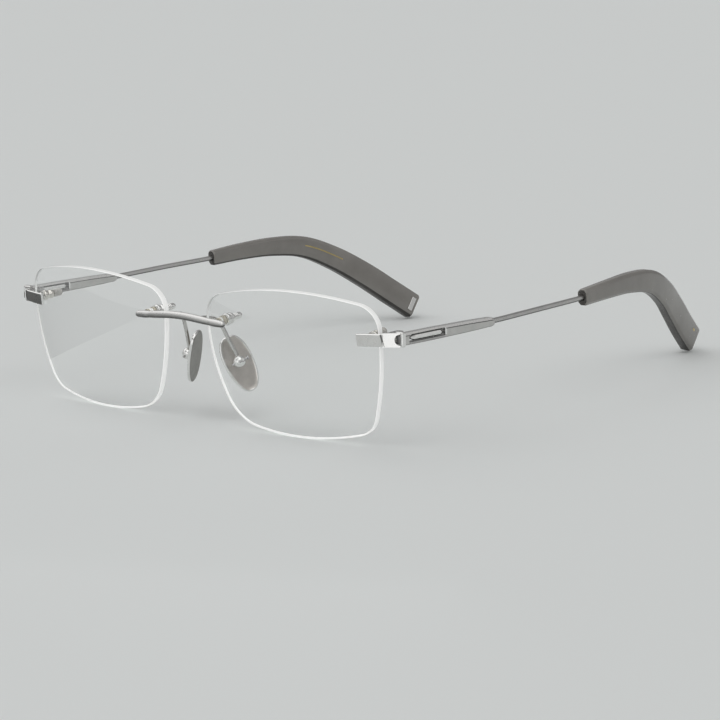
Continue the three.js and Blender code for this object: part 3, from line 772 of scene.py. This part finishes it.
def sleeve(front, rear):
    """A plastic liner in the lens hole with a collar on each side of the lens."""
    profile = [(0, front[0]), (front[2], front[0]), (front[2], front[1]), (0.9, front[1])]
    profile += [(0.9, rear[0]), (rear[2], rear[0]), (rear[2], rear[1]), (0, rear[1])]
    return revolve(rounded_profile(profile, 0.08), 48)


MOUNT_SIZES = {
    "bridge": {
        "post": (-0.5, 8.4),
        "collars": ((-0.5, -0.32, 1.0), (1.85, 2.6, 1.2)),
        "washer": (2.68, 2.9, 1.35),
        "nut": (3.0, 5.6, 1.55),
        "cap": (5.7, 9.0, 0.85),
        "ribs": 3,
    },
    "endpiece": {
        "post": (-0.45, 7.0),
        "collars": ((-0.42, -0.08, 1.3), (1.66, 1.74, 1.3)),
        "washer": (1.8, 2.04, 1.4),
        "nut": (2.14, 5.0, 1.38),
        "cap": (5.1, 7.65, 1.05),
        "ribs": 2,
    },
}
MOUNT_LOOKS = {
    "bridge": (AMBER_SLEEVE, CHROME, CHROME, CHROME),
    "endpiece": (SLEEVE, CHROME, GOLD_CHROME, SLEEVE),
}
for mount, sizes in MOUNT_SIZES.items():
    where = MOUNTS[mount]
    collar_look, washer_look, nut_look, cap_look = MOUNT_LOOKS[mount]
    last = min(sizes["post"][1], sizes["cap"][1] - 0.6)
    both(f"{mount}_post", lambda: thread(0.55, sizes["post"][0], last), [STEEL], "front",
         "screw_steel",
         where, [f"{mount}_post"], smooth=25)
    both(f"{mount}_bushing", lambda: sleeve(*sizes["collars"]), [collar_look], "front",
         "clear_sleeve",
         where, [f"{mount}_bushing"])
    both(f"{mount}_washer", lambda: washer(*sizes["washer"]), [washer_look], "front",
         "polished_chrome",
         where, [f"{mount}_washer"])
    both(f"{mount}_nut", lambda: hex_nut(*sizes["nut"]), [nut_look], "front", "polished_chrome",
         where,
         [f"{mount}_nut"], smooth=40)
    both(f"{mount}_cap", lambda: ribbed_cap(*sizes["cap"], sizes["ribs"]), [cap_look], "front",
         "polished_chrome" if mount == "bridge" else "clear_sleeve", where, [f"{mount}_cap"],
         smooth=50)

# ---------------------------------------------------------------- bridge


def bridge():
    half = [np.array(p, float) for p in BRIDGE_LINE]
    mirrored = [p * (-1, 1, 1) for p in half[1:]][::-1]
    count = 181
    line, tangents, length = catmull([*mirrored, *half], count)
    cap = 0.85
    distances = list(cap * (1 - np.cos(np.linspace(0, math.pi / 2, 12))))
    inner = list(np.linspace(cap, length - cap, 150))[1:-1]
    shares = distances + inner + [length - d for d in reversed(distances)]
    at = np.linspace(0, length, count)
    rings = []
    for s in shares:
        centre = np.array([np.interp(s, at, line[:, k]) for k in range(3)])
        tangent = np.array([np.interp(s, at, tangents[:, k]) for k in range(3)])
        tangent /= np.linalg.norm(tangent)
        back = np.array((0, 1, 0)) - tangent[1] * tangent
        back /= np.linalg.norm(back)
        up = np.cross(tangent, back)
        out = abs(2 * s / length - 1)
        blend = np.clip((out - 0.8) / 0.2, 0, 1)
        tall = 0.97 + (0.82 - 0.97) * blend * blend * (3 - 2 * blend)
        deep = 0.78
        pinch = math.exp(-(((abs(s - length / 2) - 10.9) / 1.3) ** 2))
        tall *= 1 - 0.08 * pinch
        deep *= 1 - 0.12 * pinch
        left = min(s, length - s) / cap
        fade = math.sqrt(max(1 - (1 - left) ** 2, 0.0004)) if left < 1 else 1
        ring = []
        for k in range(40):
            a = 2 * math.pi * k / 40
            ca, sa = math.cos(a), math.sin(a)
            y = deep * fade * math.copysign(abs(ca) ** 0.86, ca)
            z = tall * fade * math.copysign(abs(sa) ** 0.86, sa)
            ring.append(centre + back * y + up * z)
        rings.append(ring)
    return loft(rings)


bridge_obj = make("bridge_look", bridge(), [BRIDGE_SATIN], smooth=60)
finish(bridge_obj, "front", "satin_titanium", "bridge")

# ---------------------------------------------------------------- nose pads


def pad_arm():
    line, tangents, _ = catmull(ARM_LINE, 90)
    rings = []
    side = np.array((0.0, 0.0, 1.0))
    for centre, tangent in zip(line, tangents):
        side = side - side.dot(tangent) * tangent
        side /= np.linalg.norm(side)
        other = np.cross(tangent, side)
        rings.append([centre + side * x + other * z for x, z in ellipse(0.5, 0.5, 24)])
    return loft(rings)


down = Vector(PAD_DOWN).normalized()
across = Vector(PAD_ACROSS)
across = (across - down * across.dot(down)).normalized()
forward = -across
out = forward.cross(down)
PAD_PLACE = Matrix(
    [
        [forward.x, down.x, out.x, PAD_CENTRE[0]],
        [forward.y, down.y, out.y, PAD_CENTRE[1]],
        [forward.z, down.z, out.z, PAD_CENTRE[2]],
        [0, 0, 0, 1],
    ]
)


def pad_ring(shrink, z, sides=96):
    ring = []
    for k in range(sides):
        a = 2 * math.pi * k / sides
        ca, sa = math.cos(a), math.sin(a)
        x = (PAD_WIDE / 2 - shrink) * (1 - 0.1 * sa) * math.copysign(abs(ca) ** 0.78, ca)
        y = (PAD_LONG / 2 - shrink) * sa
        ring.append((x, y, z))
    return ring


def nose_pad():
    """A thin plate, slightly dished on the lens side, with a polished rolled rim."""
    half = PAD_THICK / 2
    rings = [pad_ring(3.0, -half + 0.14), pad_ring(1.6, -half + 0.07), pad_ring(0.6, -half + 0.02)]
    for t in steps(6):
        a = math.radians(-90 + 180 * t)
        rings.append(pad_ring(0.3 - 0.3 * math.cos(a), (half - 0.02) * math.sin(a) * 0.98))
    rings += [
        pad_ring(0.42, half - 0.05),
        pad_ring(0.52, half - 0.12),
        pad_ring(0.62, half - 0.2),
        pad_ring(1.2, half - 0.24),
        pad_ring(2.2, half - 0.27),
        pad_ring(3.1, half - 0.28),
    ]
    verts, faces = loft(rings, caps=False)
    n = 96
    for top, centre in ((0, (0, 0, -half + 0.16)), ((len(rings) - 1) * n, (0, 0, half - 0.28))):
        hub = len(verts)
        verts.append(centre)
        for i in range(n):
            j = (i + 1) % n
            faces.append((top + j, top + i, hub))
    return verts, faces


def pad_rim(c):
    sa = max(-1, min(1, c.y / (PAD_LONG / 2)))
    ca = math.sqrt(1 - sa * sa)
    edge = PAD_WIDE / 2 * (1 - 0.1 * sa) * ca**0.78
    gap = min(edge - abs(c.x), PAD_LONG / 2 - abs(c.y))
    if gap < 0.5 and c.z > -PAD_THICK / 2 + 0.1:
        return 1
    # Faces on the -Z side take the darker copy of the pad metal: painted shade.
    return 2 if c.z < 0 else 0


PAD_BOX_RADIUS = 1.55
PAD_BOX_GROOVE = 1.47
PAD_BOX_FOOT = -1.15
PAD_BOX_DOME = 1.13


def pad_box():
    """A round polished button with a groove round its foot, slightly smaller than its CAD node."""
    wide, groove = PAD_BOX_RADIUS, PAD_BOX_GROOVE
    profile = [(0, PAD_BOX_FOOT), (0.93, PAD_BOX_FOOT), (1.33, -0.92), (wide, -0.37)]
    profile += [(wide, -0.2), (groove, -0.14), (groove, -0.06), (wide, 0.0)]
    for t in steps(12)[1:]:
        a = t * math.pi / 2
        profile.append((wide * math.cos(a) if t < 1 else 0.0, PAD_BOX_DOME * math.sin(a)))
    return revolve(profile, 56)


both("pad_arm", pad_arm, [ARM_METAL], "front", "satin_titanium", None, ["pad_arm"], smooth=60)
both("nose_pad", nose_pad, [PAD_METAL, CHROME, PAD_PAINTED_SHADE], "pad_{side}", "pad_titanium", PAD_PLACE,
     ["nose_pad"], pad_rim, 50)
stem = Matrix.Translation((PAD_BOX_AT[0], PAD_BOX_AT[1], 0)) @ Matrix.Rotation(math.pi / 2, 4, "X")
both("pad_stem", lambda: cylinder(0.55, 0.3, 2.3, 32), [STEEL], "pad_{side}", "screw_steel",
     PAD_PLACE @ stem)
box_turn = Matrix.Translation(PAD_BOX_AT) @ Matrix.Rotation(math.pi / 2, 4, "X")
both("pad_box", pad_box, [CHROME], "front", "polished_chrome", PAD_PLACE @ box_turn, ["pad_box"],
     smooth=35)
pin_turn = Matrix.Translation(PAD_BOX_AT) @ Matrix.Rotation(-math.pi / 2, 4, "Z")


def pad_pin():
    return revolve(
        rounded_profile(
            [(0, -2.5), (0.55, -2.5), (0.55, -2.15), (0.3, -2.1), (0.3, 2.15), (0, 2.15)], 0.1
        ),
        32,
    )


both("pad_pin", pad_pin, [STEEL], "front", "screw_steel", PAD_PLACE @ pin_turn, ["pad_pin"])

# ---------------------------------------------------------------- endpieces


def prism(points, low, high):
    rings = [[(x, y, low) for x, y in points], [(x, y, high) for x, y in points]]
    return loft(rings)


BAR_PLACE = (
    Matrix.Translation(BAR_AT)
    @ Matrix.Rotation(BAR_PITCH, 4, "X")
    @ Matrix.Rotation(BAR_YAW, 4, "Z")
    @ Matrix.Rotation(BAR_ROLL, 4, "Y")
)


def bar():
    """The flat front bar: a satin face, bevels all round."""
    outline = rounded_rect(BAR_LONG, BAR_HIGH, 0.22, 4)
    face = rounded_rect(BAR_LONG - 0.36, BAR_HIGH - 0.36, 0.14, 4)
    t = BAR_THICK / 2
    rings = [
        [(x, -t, z) for x, z in face],
        [(x, -t + 0.18, z) for x, z in outline],
        [(x, t - 0.18, z) for x, z in outline],
        [(x, t, z) for x, z in face],
    ]
    return loft(rings)


def bar_finish(c):
    # The front face takes the lighter satin copy as painted light, the rest chrome.
    return 0 if c.y < -BAR_THICK / 2 + 0.02 else 1


def plate_profile():
    (fx, fy), (rx, ry) = PLATE_FRONT, PLATE_REAR
    run = math.hypot(rx - fx, ry - fy)
    ux, uy = (rx - fx) / run, (ry - fy) / run
    inward = (-uy * PLATE_THICK, ux * PLATE_THICK)
    inner_x = rx - PLATE_THICK * run / (ry - fy)
    return [
        (fx, fy),
        (rx - 0.14 * ux, ry - 0.14 * uy),
        (rx - 0.1, ry),
        (inner_x, ry),
        (fx + inward[0], fy + inward[1]),
    ]


def notch_place():
    (fx, fy), (rx, ry) = PLATE_FRONT, PLATE_REAR
    run = math.hypot(rx - fx, ry - fy)
    nx, ny = rx - 0.15 * (rx - fx) / run, ry - 0.15 * (ry - fy) / run
    turn = math.atan2(ry - fy, rx - fx)
    return Matrix.Translation((nx, ny, BLADE_AT[2])) @ Matrix.Rotation(turn, 4, "Z")


def cut_notch(obj, mirror):
    # The walls of the notch take the painted-shade steel: painted shade in the notch.
    tool = make("notch", cylinder(NOTCH_RADIUS, -3, 3, 64), [CHROME, PAINTED_SHADE_STEEL], notch_place(),
                mirror, pick=lambda c: 1)
    subtract(obj, tool)
    obj.data.set_sharp_from_angle(angle=math.radians(30))
    bevel(obj, 0.1, 3, 40)


def ear(low, high):
    px, py = PIVOT
    half = 1.2
    arc = [
        (px + HINGE_RADIUS * math.cos(a), py + HINGE_RADIUS * math.sin(a))
        for a in np.linspace(0, math.pi, 25)
    ]
    return prism([*arc, (px - half, py - 4.6), (px + half, py - 4.6)], low, high)


both("endpiece_bar", bar, [PAINTED_LIGHT_SATIN, CHROME], "front", "satin_titanium", BAR_PLACE,
     ["endpiece"], bar_finish)
both("endpiece_plate", lambda: prism(plate_profile(), PLATE_LOW, PLATE_HIGH), [CHROME, PAINTED_SHADE_STEEL],
     "front",
     "satin_titanium", smooth=25, after=cut_notch)


def bend_shade_strip():
    """The dark slanting face of the bend between the bar and the plate, a thin sheet of painted
    shade.
    """
    half = BAR_HIGH / 2 - 0.08
    end = BAR_LONG / 2
    corners = ((end - 0.85, half), (end - 0.3, half), (end + 0.12, -half), (end - 0.4, -half))
    rings = []
    for y, shrink in ((-BAR_THICK / 2 - 0.02, 0.04), (-BAR_THICK / 2 - 0.01, 0.0),
                      (-BAR_THICK / 2 + 0.1, 0.0)):
        middle = (sum(x for x, _ in corners) / 4, 0)
        rings.append([(x + (shrink if x < middle[0] else -shrink), y, z * (1 - shrink / 2))
                      for x, z in corners])
    return loft(rings)


both("endpiece_bend_painted_shade", bend_shade_strip, [PAINTED_SHADE_STEEL], "front", "satin_titanium", BAR_PLACE)


def bore_ear(obj, mirror):
    tools = [make("bore", cylinder(0.48, -4, 4, 40), [STEEL],
                  Matrix.Translation((*PIVOT, 27.4)) @ Matrix.Rotation(math.pi / 2, 4, "X"),
                  mirror),
             make("seat", cylinder(0.88, 28.51 - 27.4, 4, 40), [STEEL],
                  Matrix.Translation((*PIVOT, 27.4)) @ Matrix.Rotation(math.pi / 2, 4, "X"),
                  mirror)]
    subtract(obj, *tools)
    obj.data.set_sharp_from_angle(angle=math.radians(30))
    bevel(obj, 0.06, 2, 40)


for label, (low_z, high_z) in (("lower", EARS[0]), ("upper", EARS[1])):
    both(f"hinge_ear_{label}", lambda: ear(low_z, high_z), [STEEL], "front", "satin_titanium",
         after=bore_ear)

# ---------------------------------------------------------------- temples

y_axis = (Vector(BLADE_END) - Vector(BLADE_AT)).normalized()
x_axis = (Vector((1, 0, 0)) - y_axis * y_axis.x).normalized()
z_axis = x_axis.cross(y_axis)
BLADE_PLACE = Matrix(
    [
        [x_axis.x, y_axis.x, z_axis.x, BLADE_AT[0]],
        [x_axis.y, y_axis.y, z_axis.y, BLADE_AT[1]],
        [x_axis.z, y_axis.z, z_axis.z, BLADE_AT[2]],
        [0, 0, 0, 1],
    ]
)


def blade_section(half, thick, y):
    """Right side first: a low satin face, a wide sloping top facet with a fine step under it."""
    x, z = thick / 2, half
    facet = 0.62 * min(1.0, half / 1.2)
    points = [(x, -z + 0.22), (x, z - facet - 0.2), (x - 0.1, z - facet - 0.14),
              (x - 0.1, z - facet)]
    points += [(x - 0.14, z - facet + 0.06), (x - 0.42, z - 0.05), (x - 0.52, z)]
    left = [(-px, pz) for px, pz in reversed(points)]
    low = [(-x + 0.22, -z), (x - 0.22, -z)]
    return [(px, y, pz) for px, pz in [*points, *left, *low]]


def blade():
    """A deep blade with a step below its sloping top facets and a blunt rounded end."""
    end = BLADE_HALF_HEIGHTS[-1][0]
    rings = []
    ys = list(np.linspace(FLANGE_LONG - 0.1, end - 0.9, 60)) + list(np.linspace(end - 0.85, end,
                                                                                12))
    for y in ys:
        half = min(smooth_table(BLADE_HALF_HEIGHTS, min(y, 32.7)), 1.5)
        fade = np.clip((y - (end - 0.9)) / 0.9, 0, 1)
        round_off = math.sqrt(max(1 - fade * fade, 0.0))
        rings.append(blade_section(half * (0.55 + 0.45 * round_off),
                                   BLADE_THICK * (0.72 + 0.28 * round_off), y))
    return loft(rings)


def blade_finish(c):
    half = min(smooth_table(BLADE_HALF_HEIGHTS, min(c.y, 32.7)), 1.5)
    facet = 0.62 * min(1.0, half / 1.2)
    # The fine step takes the painted-shade steel and the top facet the lighter satin copy: painted
    # shade and painted light.
    if abs(c.x) > BLADE_THICK / 2 - 0.1 and half - facet - 0.21 < c.z < half - facet + 0.02:
        return 2
    return 3 if c.z > half - facet else 0


def flange():
    wide = BLADE_THICK + 2 * FLANGE_PROUD
    rings = []
    for y, shrink in ((0, 0.25), (0.1, 0.08), (0.3, 0), (0.95, 0), (1.18, 0.08), (1.3, 0.24)):
        rings.append([(x, y, z)
                      for x, z in rounded_rect(wide - 2 * shrink, FLANGE_HIGH - 2 * shrink, 0.45,
                                               5)])
    return loft(rings)


def window_tool(mirror):
    """The window with its edge sloping outwards on both faces of the blade."""
    start, end, tall = WINDOW
    rings = []
    for x, grow in ((-4, 0.3), (-BLADE_THICK / 2, 0.3), (-BLADE_THICK / 2 + 0.28, 0),
                    (BLADE_THICK / 2 - 0.28, 0),
                    (BLADE_THICK / 2, 0.3), (4, 0.3)):
        ring = rounded_rect(end - start - 0.5 + 2 * grow, tall - 0.3 + 2 * grow, 0.32, 5)
        rings.append([(x, y + (start + end) / 2, z) for y, z in ring])
    # The inner walls of the window take the painted-shade steel (painted shade), the sloping edges
    # chrome.
    return make("window", loft(rings), [SATIN, CHROME, PAINTED_SHADE_STEEL], BLADE_PLACE, mirror,
                pick=lambda c: 2 if abs(c.x) < BLADE_THICK / 2 - 0.3 else 1)


def cut_blade(obj, mirror):
    bore = make("bore", cylinder(0.85, 15.5, 25, 40), [SATIN, PAINTED_SHADE_STEEL], BLADE_PLACE, mirror)
    subtract(obj, window_tool(mirror), bore)
    obj.data.set_sharp_from_angle(angle=math.radians(30))


def swing_tool(mirror):
    turn = Matrix.Translation((*PIVOT, 27.4)) @ Matrix.Rotation(math.pi / 2, 4, "X")
    return make("swing", cylinder(HINGE_RADIUS + 0.25, -6, 6, 48), [CHROME], turn, mirror)


def cut_flange(obj, mirror):
    subtract(obj, swing_tool(mirror))
    obj.data.set_sharp_from_angle(angle=math.radians(30))


both("temple_blade", blade, [SATIN, CHROME, PAINTED_SHADE_STEEL, PAINTED_LIGHT_SATIN], "temple_{side}",
     "satin_titanium", BLADE_PLACE,
     ["temple"], blade_finish, 30, cut_blade)
both("temple_flange", flange, [CHROME], "temple_{side}", "satin_titanium", BLADE_PLACE, smooth=40,
     after=cut_flange)



def nose():
    """The fluted barrel at the front of the blade, in the notch of the endpiece plate; it is
    painted dark as the shade in the notch.
    """
    rings = []
    for z, shrink in ((-0.95, 0.1), (-0.87, 0.02), (-0.8, 0.0), (0.8, 0.0), (0.87, 0.02),
                      (0.95, 0.1)):
        ring = []
        for k in range(96):
            a = 2 * math.pi * k / 96
            r = 0.95 + 0.045 * math.cos(14 * a) - shrink
            ring.append((r * math.cos(a), 0.65 + r * math.sin(a), z))
        rings.append(ring)
    return loft(rings)


both("temple_nose", nose, [PAINTED_SHADE_STEEL], "temple_{side}", "satin_titanium", BLADE_PLACE, smooth=50)

tip_line, tip_tangents, _ = catmull(TIP_LINE, 400)


def tip_at(t):
    s = t * (len(tip_line) - 1)
    i = min(int(s), len(tip_line) - 2)
    f = s - i
    centre = tip_line[i] * (1 - f) + tip_line[i + 1] * f
    tangent = tip_tangents[i] * (1 - f) + tip_tangents[i + 1] * f
    tangent /= np.linalg.norm(tangent)
    side = np.array((1.0, 0, 0)) - tangent[0] * tangent
    side /= np.linalg.norm(side)
    up = np.cross(side, tangent)
    up /= np.linalg.norm(up)
    return centre, tangent, side, up


def rod():
    """The thin round rod between the blade and the tip, and its core inside the tip."""
    inside = [tip_at(t)[0] for t in steps(12, 0, CORE_END)]
    start = np.array(BLADE_END) * 0.92 + np.array(BLADE_AT) * 0.08
    line, tangents, _ = catmull([start, BLADE_END, (70.05, 57.5, 26.98), *inside], 160)
    rings = []
    for centre, tangent in zip(line, tangents):
        side = np.array((1.0, 0, 0)) - tangent[0] * tangent
        side /= np.linalg.norm(side)
        up = np.cross(side, tangent)
        rings.append([centre + side * x + up * z for x, z in ellipse(WIRE_RADIUS, WIRE_RADIUS, 24)])
    return loft(rings)


both("temple_rod", rod, [ROD_SATIN], "temple_{side}", "satin_titanium", smooth=60)


def tip():
    rings = []
    heights = [(i / 4, h) for i, h in enumerate(TIP_HEIGHTS)]
    ends = (0.0, 0.0012, 0.003, 0.006)
    shares = [*ends, *np.linspace(0.012, 0.988, 110), *[1 - e for e in reversed(ends)]]
    rounding = {0.0: 0.22, 0.0012: 0.1, 0.003: 0.03, 0.006: 0.0}
    for t in shares:
        edge = min(t, 1 - t)
        shrink = next((s for e, s in rounding.items() if abs(edge - e) < 1e-6), 0.0)
        wide = TIP_THICKS[0] + (TIP_THICKS[1] - TIP_THICKS[0]) * t - 2 * shrink
        tall = smooth_table(heights, t) - 2 * shrink
        centre, _, side, up = tip_at(t)
        c = TIP_CHAMFER
        x, z = wide / 2, tall / 2
        corners = [(x, -z + c), (x, z - c), (x - c, z), (-x + c, z), (-x, z - c), (-x, -z + c),
                   (-x + c, -z), (x - c, -z)]
        ring = []
        for i, corner in enumerate(corners):
            before, after = corners[i - 1], corners[(i + 1) % 8]
            for k, (px, pz) in enumerate(((before), (after))):
                length = math.hypot(px - corner[0], pz - corner[1])
                reach = min(0.22, 0.4 * length) / length
                ring.append((corner[0] + (px - corner[0]) * reach,
                             corner[1] + (pz - corner[1]) * reach))
                if k == 0:
                    mid = [
                        corner[j] * 0.5
                        + 0.25
                        * (2 * corner[j] + 0.4 * (before[j] - corner[j]) * 0.3 + 0.4
                           * (after[j] - corner[j]) * 0.3)
                        for j in (0, 1)
                    ]
                    ring.append(tuple(mid))
        rings.append([centre + side * a + up * b for a, b in ring])
    verts, faces = loft(rings)
    n = len(rings[0])
    # Faces 17 to 22 round each section (the underside and the lower chamfer on the -x side) and
    # both end caps take the darker acetate: painted shade.
    kinds = [1 if 17 <= i % n <= 22 else 0 for i in range(n * (len(rings) - 1))] + [1, 1]
    return verts, faces, kinds


def cut_tip(obj, mirror):
    line, tangents, _ = catmull([tip_at(t)[0] for t in steps(16, 0, CORE_END + 0.01)], 60)
    first = line[0] - tangents[0] * 1.0
    line = np.vstack(([first], line))
    tangents = np.vstack(([tangents[0]], tangents))
    rings = []
    for centre, tangent in zip(line, tangents):
        side = np.array((1.0, 0, 0)) - tangent[0] * tangent
        side /= np.linalg.norm(side)
        up = np.cross(side, tangent)
        rings.append([centre + side * x + up * z for x, z in ellipse(0.8, 0.8, 20)])
    core = make("core", loft(rings), [ACETATE], None, mirror)
    pocket = make("pocket", inlay_plate(0.05), [ACETATE], None, mirror)
    subtract(obj, core, pocket)
    obj.data.set_sharp_from_angle(angle=math.radians(40))


def inlay_plate(grow=0.0):
    centre, tangent, side, up = tip_at(INLAY_AT)
    thick = TIP_THICKS[0] + (TIP_THICKS[1] - TIP_THICKS[0]) * INLAY_AT
    mid = -thick / 2 + (INLAY_DEEP - INLAY_PROUD) / 2 + grow
    verts = []
    for x in (-1, 1):
        for y in (-1, 1):
            for z in (-1, 1):
                verts.append(
                    tuple(
                        centre
                        + side * (mid + x * (INLAY_DEEP + INLAY_PROUD) / 2)
                        + tangent * y * (INLAY_LONG / 2 + grow)
                        + up * z * (INLAY_HIGH / 2 + grow)
                    )
                )
    faces = [(0, 1, 3, 2), (4, 6, 7, 5), (0, 4, 5, 1), (2, 3, 7, 6), (0, 2, 6, 4), (1, 5, 7, 3)]
    return verts, faces


both("temple_tip", tip, [ACETATE, ACETATE_PAINTED_SHADE], "temple_{side}", "smoky_acetate", None,
     ["temple_tip"], smooth=50,
     after=cut_tip)
both("tip_inlay", inlay_plate, [INLAY_METAL], "temple_{side}", "polished_chrome", None,
     ["tip_inlay"],
     after=lambda obj, mirror: bevel(obj, 0.12, 3, 40))


def gilt_line():
    """A plain gilt hairline on the inner face of the tip."""
    shares = np.linspace(0.44, 0.62, 40)
    rings = []
    for t in shares:
        centre, _, side, up = tip_at(t)
        thick = TIP_THICKS[0] + (TIP_THICKS[1] - TIP_THICKS[0]) * t
        at = centre - side * (thick / 2 - 0.005)
        rings.append([at + side * x + up * (0.5 + z)
                      for x, z in rounded_rect(0.03, 0.34, 0.012, 2)])
    return loft(rings)


both("gilt_line", gilt_line, [GILT], "temple_{side}", "polished_chrome")


def painted_glint_mark():
    """A small gilt patch on the outer face near the end of the tip, standing in for a golden glint:
    a painted glint.
    """
    centre, tangent, side, up = tip_at(0.945)
    thick = TIP_THICKS[0] + (TIP_THICKS[1] - TIP_THICKS[0]) * 0.945
    rings = []
    for out, shrink in ((-0.2, 0.0), (0.01, 0.0), (0.03, 0.06)):
        at = centre + side * (thick / 2 + out) + up * 1.3
        rings.append([at + tangent * y + up * z
                      for y, z in ellipse(0.75 - shrink, 0.32 - shrink, 24)])
    return loft(rings)


both("painted_glint_mark", painted_glint_mark, [GILT], "temple_{side}", "polished_chrome")

# ---------------------------------------------------------------- kept CAD nodes

for side in ("left", "right"):
    for name, mat, width in (
        ("hinge_screw", STEEL, 0.05),
        ("hinge_slider", slider_metal(), 0.0),
        ("flex_spring", STEEL, 0.0),
    ):
        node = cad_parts[f"{name}_{side}"]
        node.data.materials.clear()
        node.data.materials.append(mat)
        if width:
            bevel(node, width, 2, 40)

# ---------------------------------------------------------------- floor, light, camera


SKY_STRENGTH = 0.785
# direction, cosine where it starts, cosine where it is full, brightness
SKY_PATCHES = (
    ((-0.68, -0.19, 0.708), 0.72, 0.93, 0.85),
    ((0.37, -0.92, 0.12), 0.86, 0.97, 1.0),
    ((-0.43, -0.9, 0.08), 0.84, 0.97, 0.6),
    ((0.6, 0.68, 0.42), 0.9, 0.98, 0.45),
)
# name, place (m), facing, size (m), light
CARDS = (
    ("flag_card", (-0.150, -0.112, 0.002), (0, 0, 1), (0.13, 0.13), 0.0),
    ("bounce_card", (0.108, -0.165, 0.03), (0.37, -0.91, 0), (0.11, 0.06), 1.02),
)


def card(name, at, facing, size, light):
    """A studio card that only shows in reflections: dark, or bright by its own light."""
    mat, nt, shader = node_material(name)
    cloud = noise(nt, 0.01)
    nt.links.new(ramp(nt, cloud, ((0.3, grey(0.02)), (0.7, grey(0.03)))),
                 shader.inputs["Base Color"])
    shader.inputs["Roughness"].default_value = 0.9
    if light:
        nt.links.new(
            ramp(nt, cloud, ((0.3, grey(light * 0.97)), (0.7, grey(light)))),
            shader.inputs["Emission Color"]
        )
        shader.inputs["Emission Strength"].default_value = 1.0
    bpy.ops.mesh.primitive_plane_add(size=1, location=at)
    obj = bpy.context.object
    obj.name = name
    obj.scale = (*size, 1)
    obj.rotation_euler = Vector(facing).to_track_quat("Z", "Y").to_euler()
    obj.data.materials.append(mat)
    obj.visible_camera = False
    obj.visible_diffuse = False
    obj.visible_shadow = False
    obj.visible_transmission = False


def studio():
    mat, _, shader = node_material("studio_floor")
    shader.inputs["Base Color"].default_value = (0.745, 0.765, 0.758, 1)
    shader.inputs["Roughness"].default_value = 0.9
    shader.inputs["Specular IOR Level"].default_value = 0.1
    bpy.ops.mesh.primitive_plane_add(size=12, location=(0, 3, 0))
    floor = bpy.context.object
    floor.name = "studio_floor"
    floor.data.materials.append(mat)

    for values in CARDS:
        card(*values)

    world = bpy.data.worlds.new("studio")
    bpy.context.scene.world = world
    world.use_nodes = True
    tree = world.node_tree
    background = tree.nodes["Background"]
    where = tree.nodes.new("ShaderNodeTexCoord").outputs["Generated"]

    def patch(towards, stops):
        """A value that depends on the angle from one direction."""
        dot = tree.nodes.new("ShaderNodeVectorMath")
        dot.operation = "DOT_PRODUCT"
        dot.inputs[1].default_value = Vector(towards).normalized()
        tree.links.new(where, dot.inputs[0])
        return ramp(tree, dot.outputs["Value"], stops)

    sky = patch((0, 0, 1),
                ((0.0, grey(0.22)), (0.1, grey(0.3)), (0.4, grey(0.5)), (1.0, grey(0.7))))
    dimmer = patch((0.17, 0.7, 0.66), ((0.7, grey(1.0)), (0.95, grey(0.55))))
    sky = times(tree, sky, dimmer)
    for towards, start, full, light in SKY_PATCHES:
        sky = times(tree, sky, patch(towards, ((start, grey(0.0)), (full, grey(light)))), "ADD")
    tree.links.new(sky, background.inputs["Color"])
    background.inputs["Strength"].default_value = SKY_STRENGTH


def sun(name, towards, angle, strength):
    """A wide, soft light from far away; towards points at it."""
    data = bpy.data.lights.new(name, "SUN")
    data.angle = math.radians(angle)
    data.energy = strength
    lamp = bpy.data.objects.new(name, data)
    bpy.context.scene.collection.objects.link(lamp)
    lamp.rotation_euler = Vector(towards).to_track_quat("Z", "Y").to_euler()
    return lamp


def camera():
    azimuth, elevation, roll = math.radians(43.86), math.radians(10.99), -0.0463
    target = (Vector((7.534, 55.762, 7.701)) + SHIFT) / 1000
    back = Vector(
        (
            math.sin(azimuth) * math.cos(elevation),
            -math.cos(azimuth) * math.cos(elevation),
            math.sin(elevation),
        )
    )
    right = Vector((math.cos(azimuth), math.sin(azimuth), 0))
    up = back.cross(right)
    turned_right = right * math.cos(roll) + up * math.sin(roll)
    turned_up = up * math.cos(roll) - right * math.sin(roll)
    place = Matrix((turned_right, turned_up, back)).transposed().to_4x4()
    place.translation = target + back * 0.75096
    data = bpy.data.cameras.new("camera")
    data.lens = 139.32
    data.sensor_width = 36
    data.clip_start = 0.01
    data.clip_end = 50
    cam = bpy.data.objects.new("camera", data)
    cam.matrix_world = place
    bpy.context.scene.collection.objects.link(cam)
    bpy.context.scene.camera = cam


studio()
sun("key", (0.45, -0.35, 1.0), 60, 0.6)
camera()
bpy.context.scene.view_settings.view_transform = "Standard"
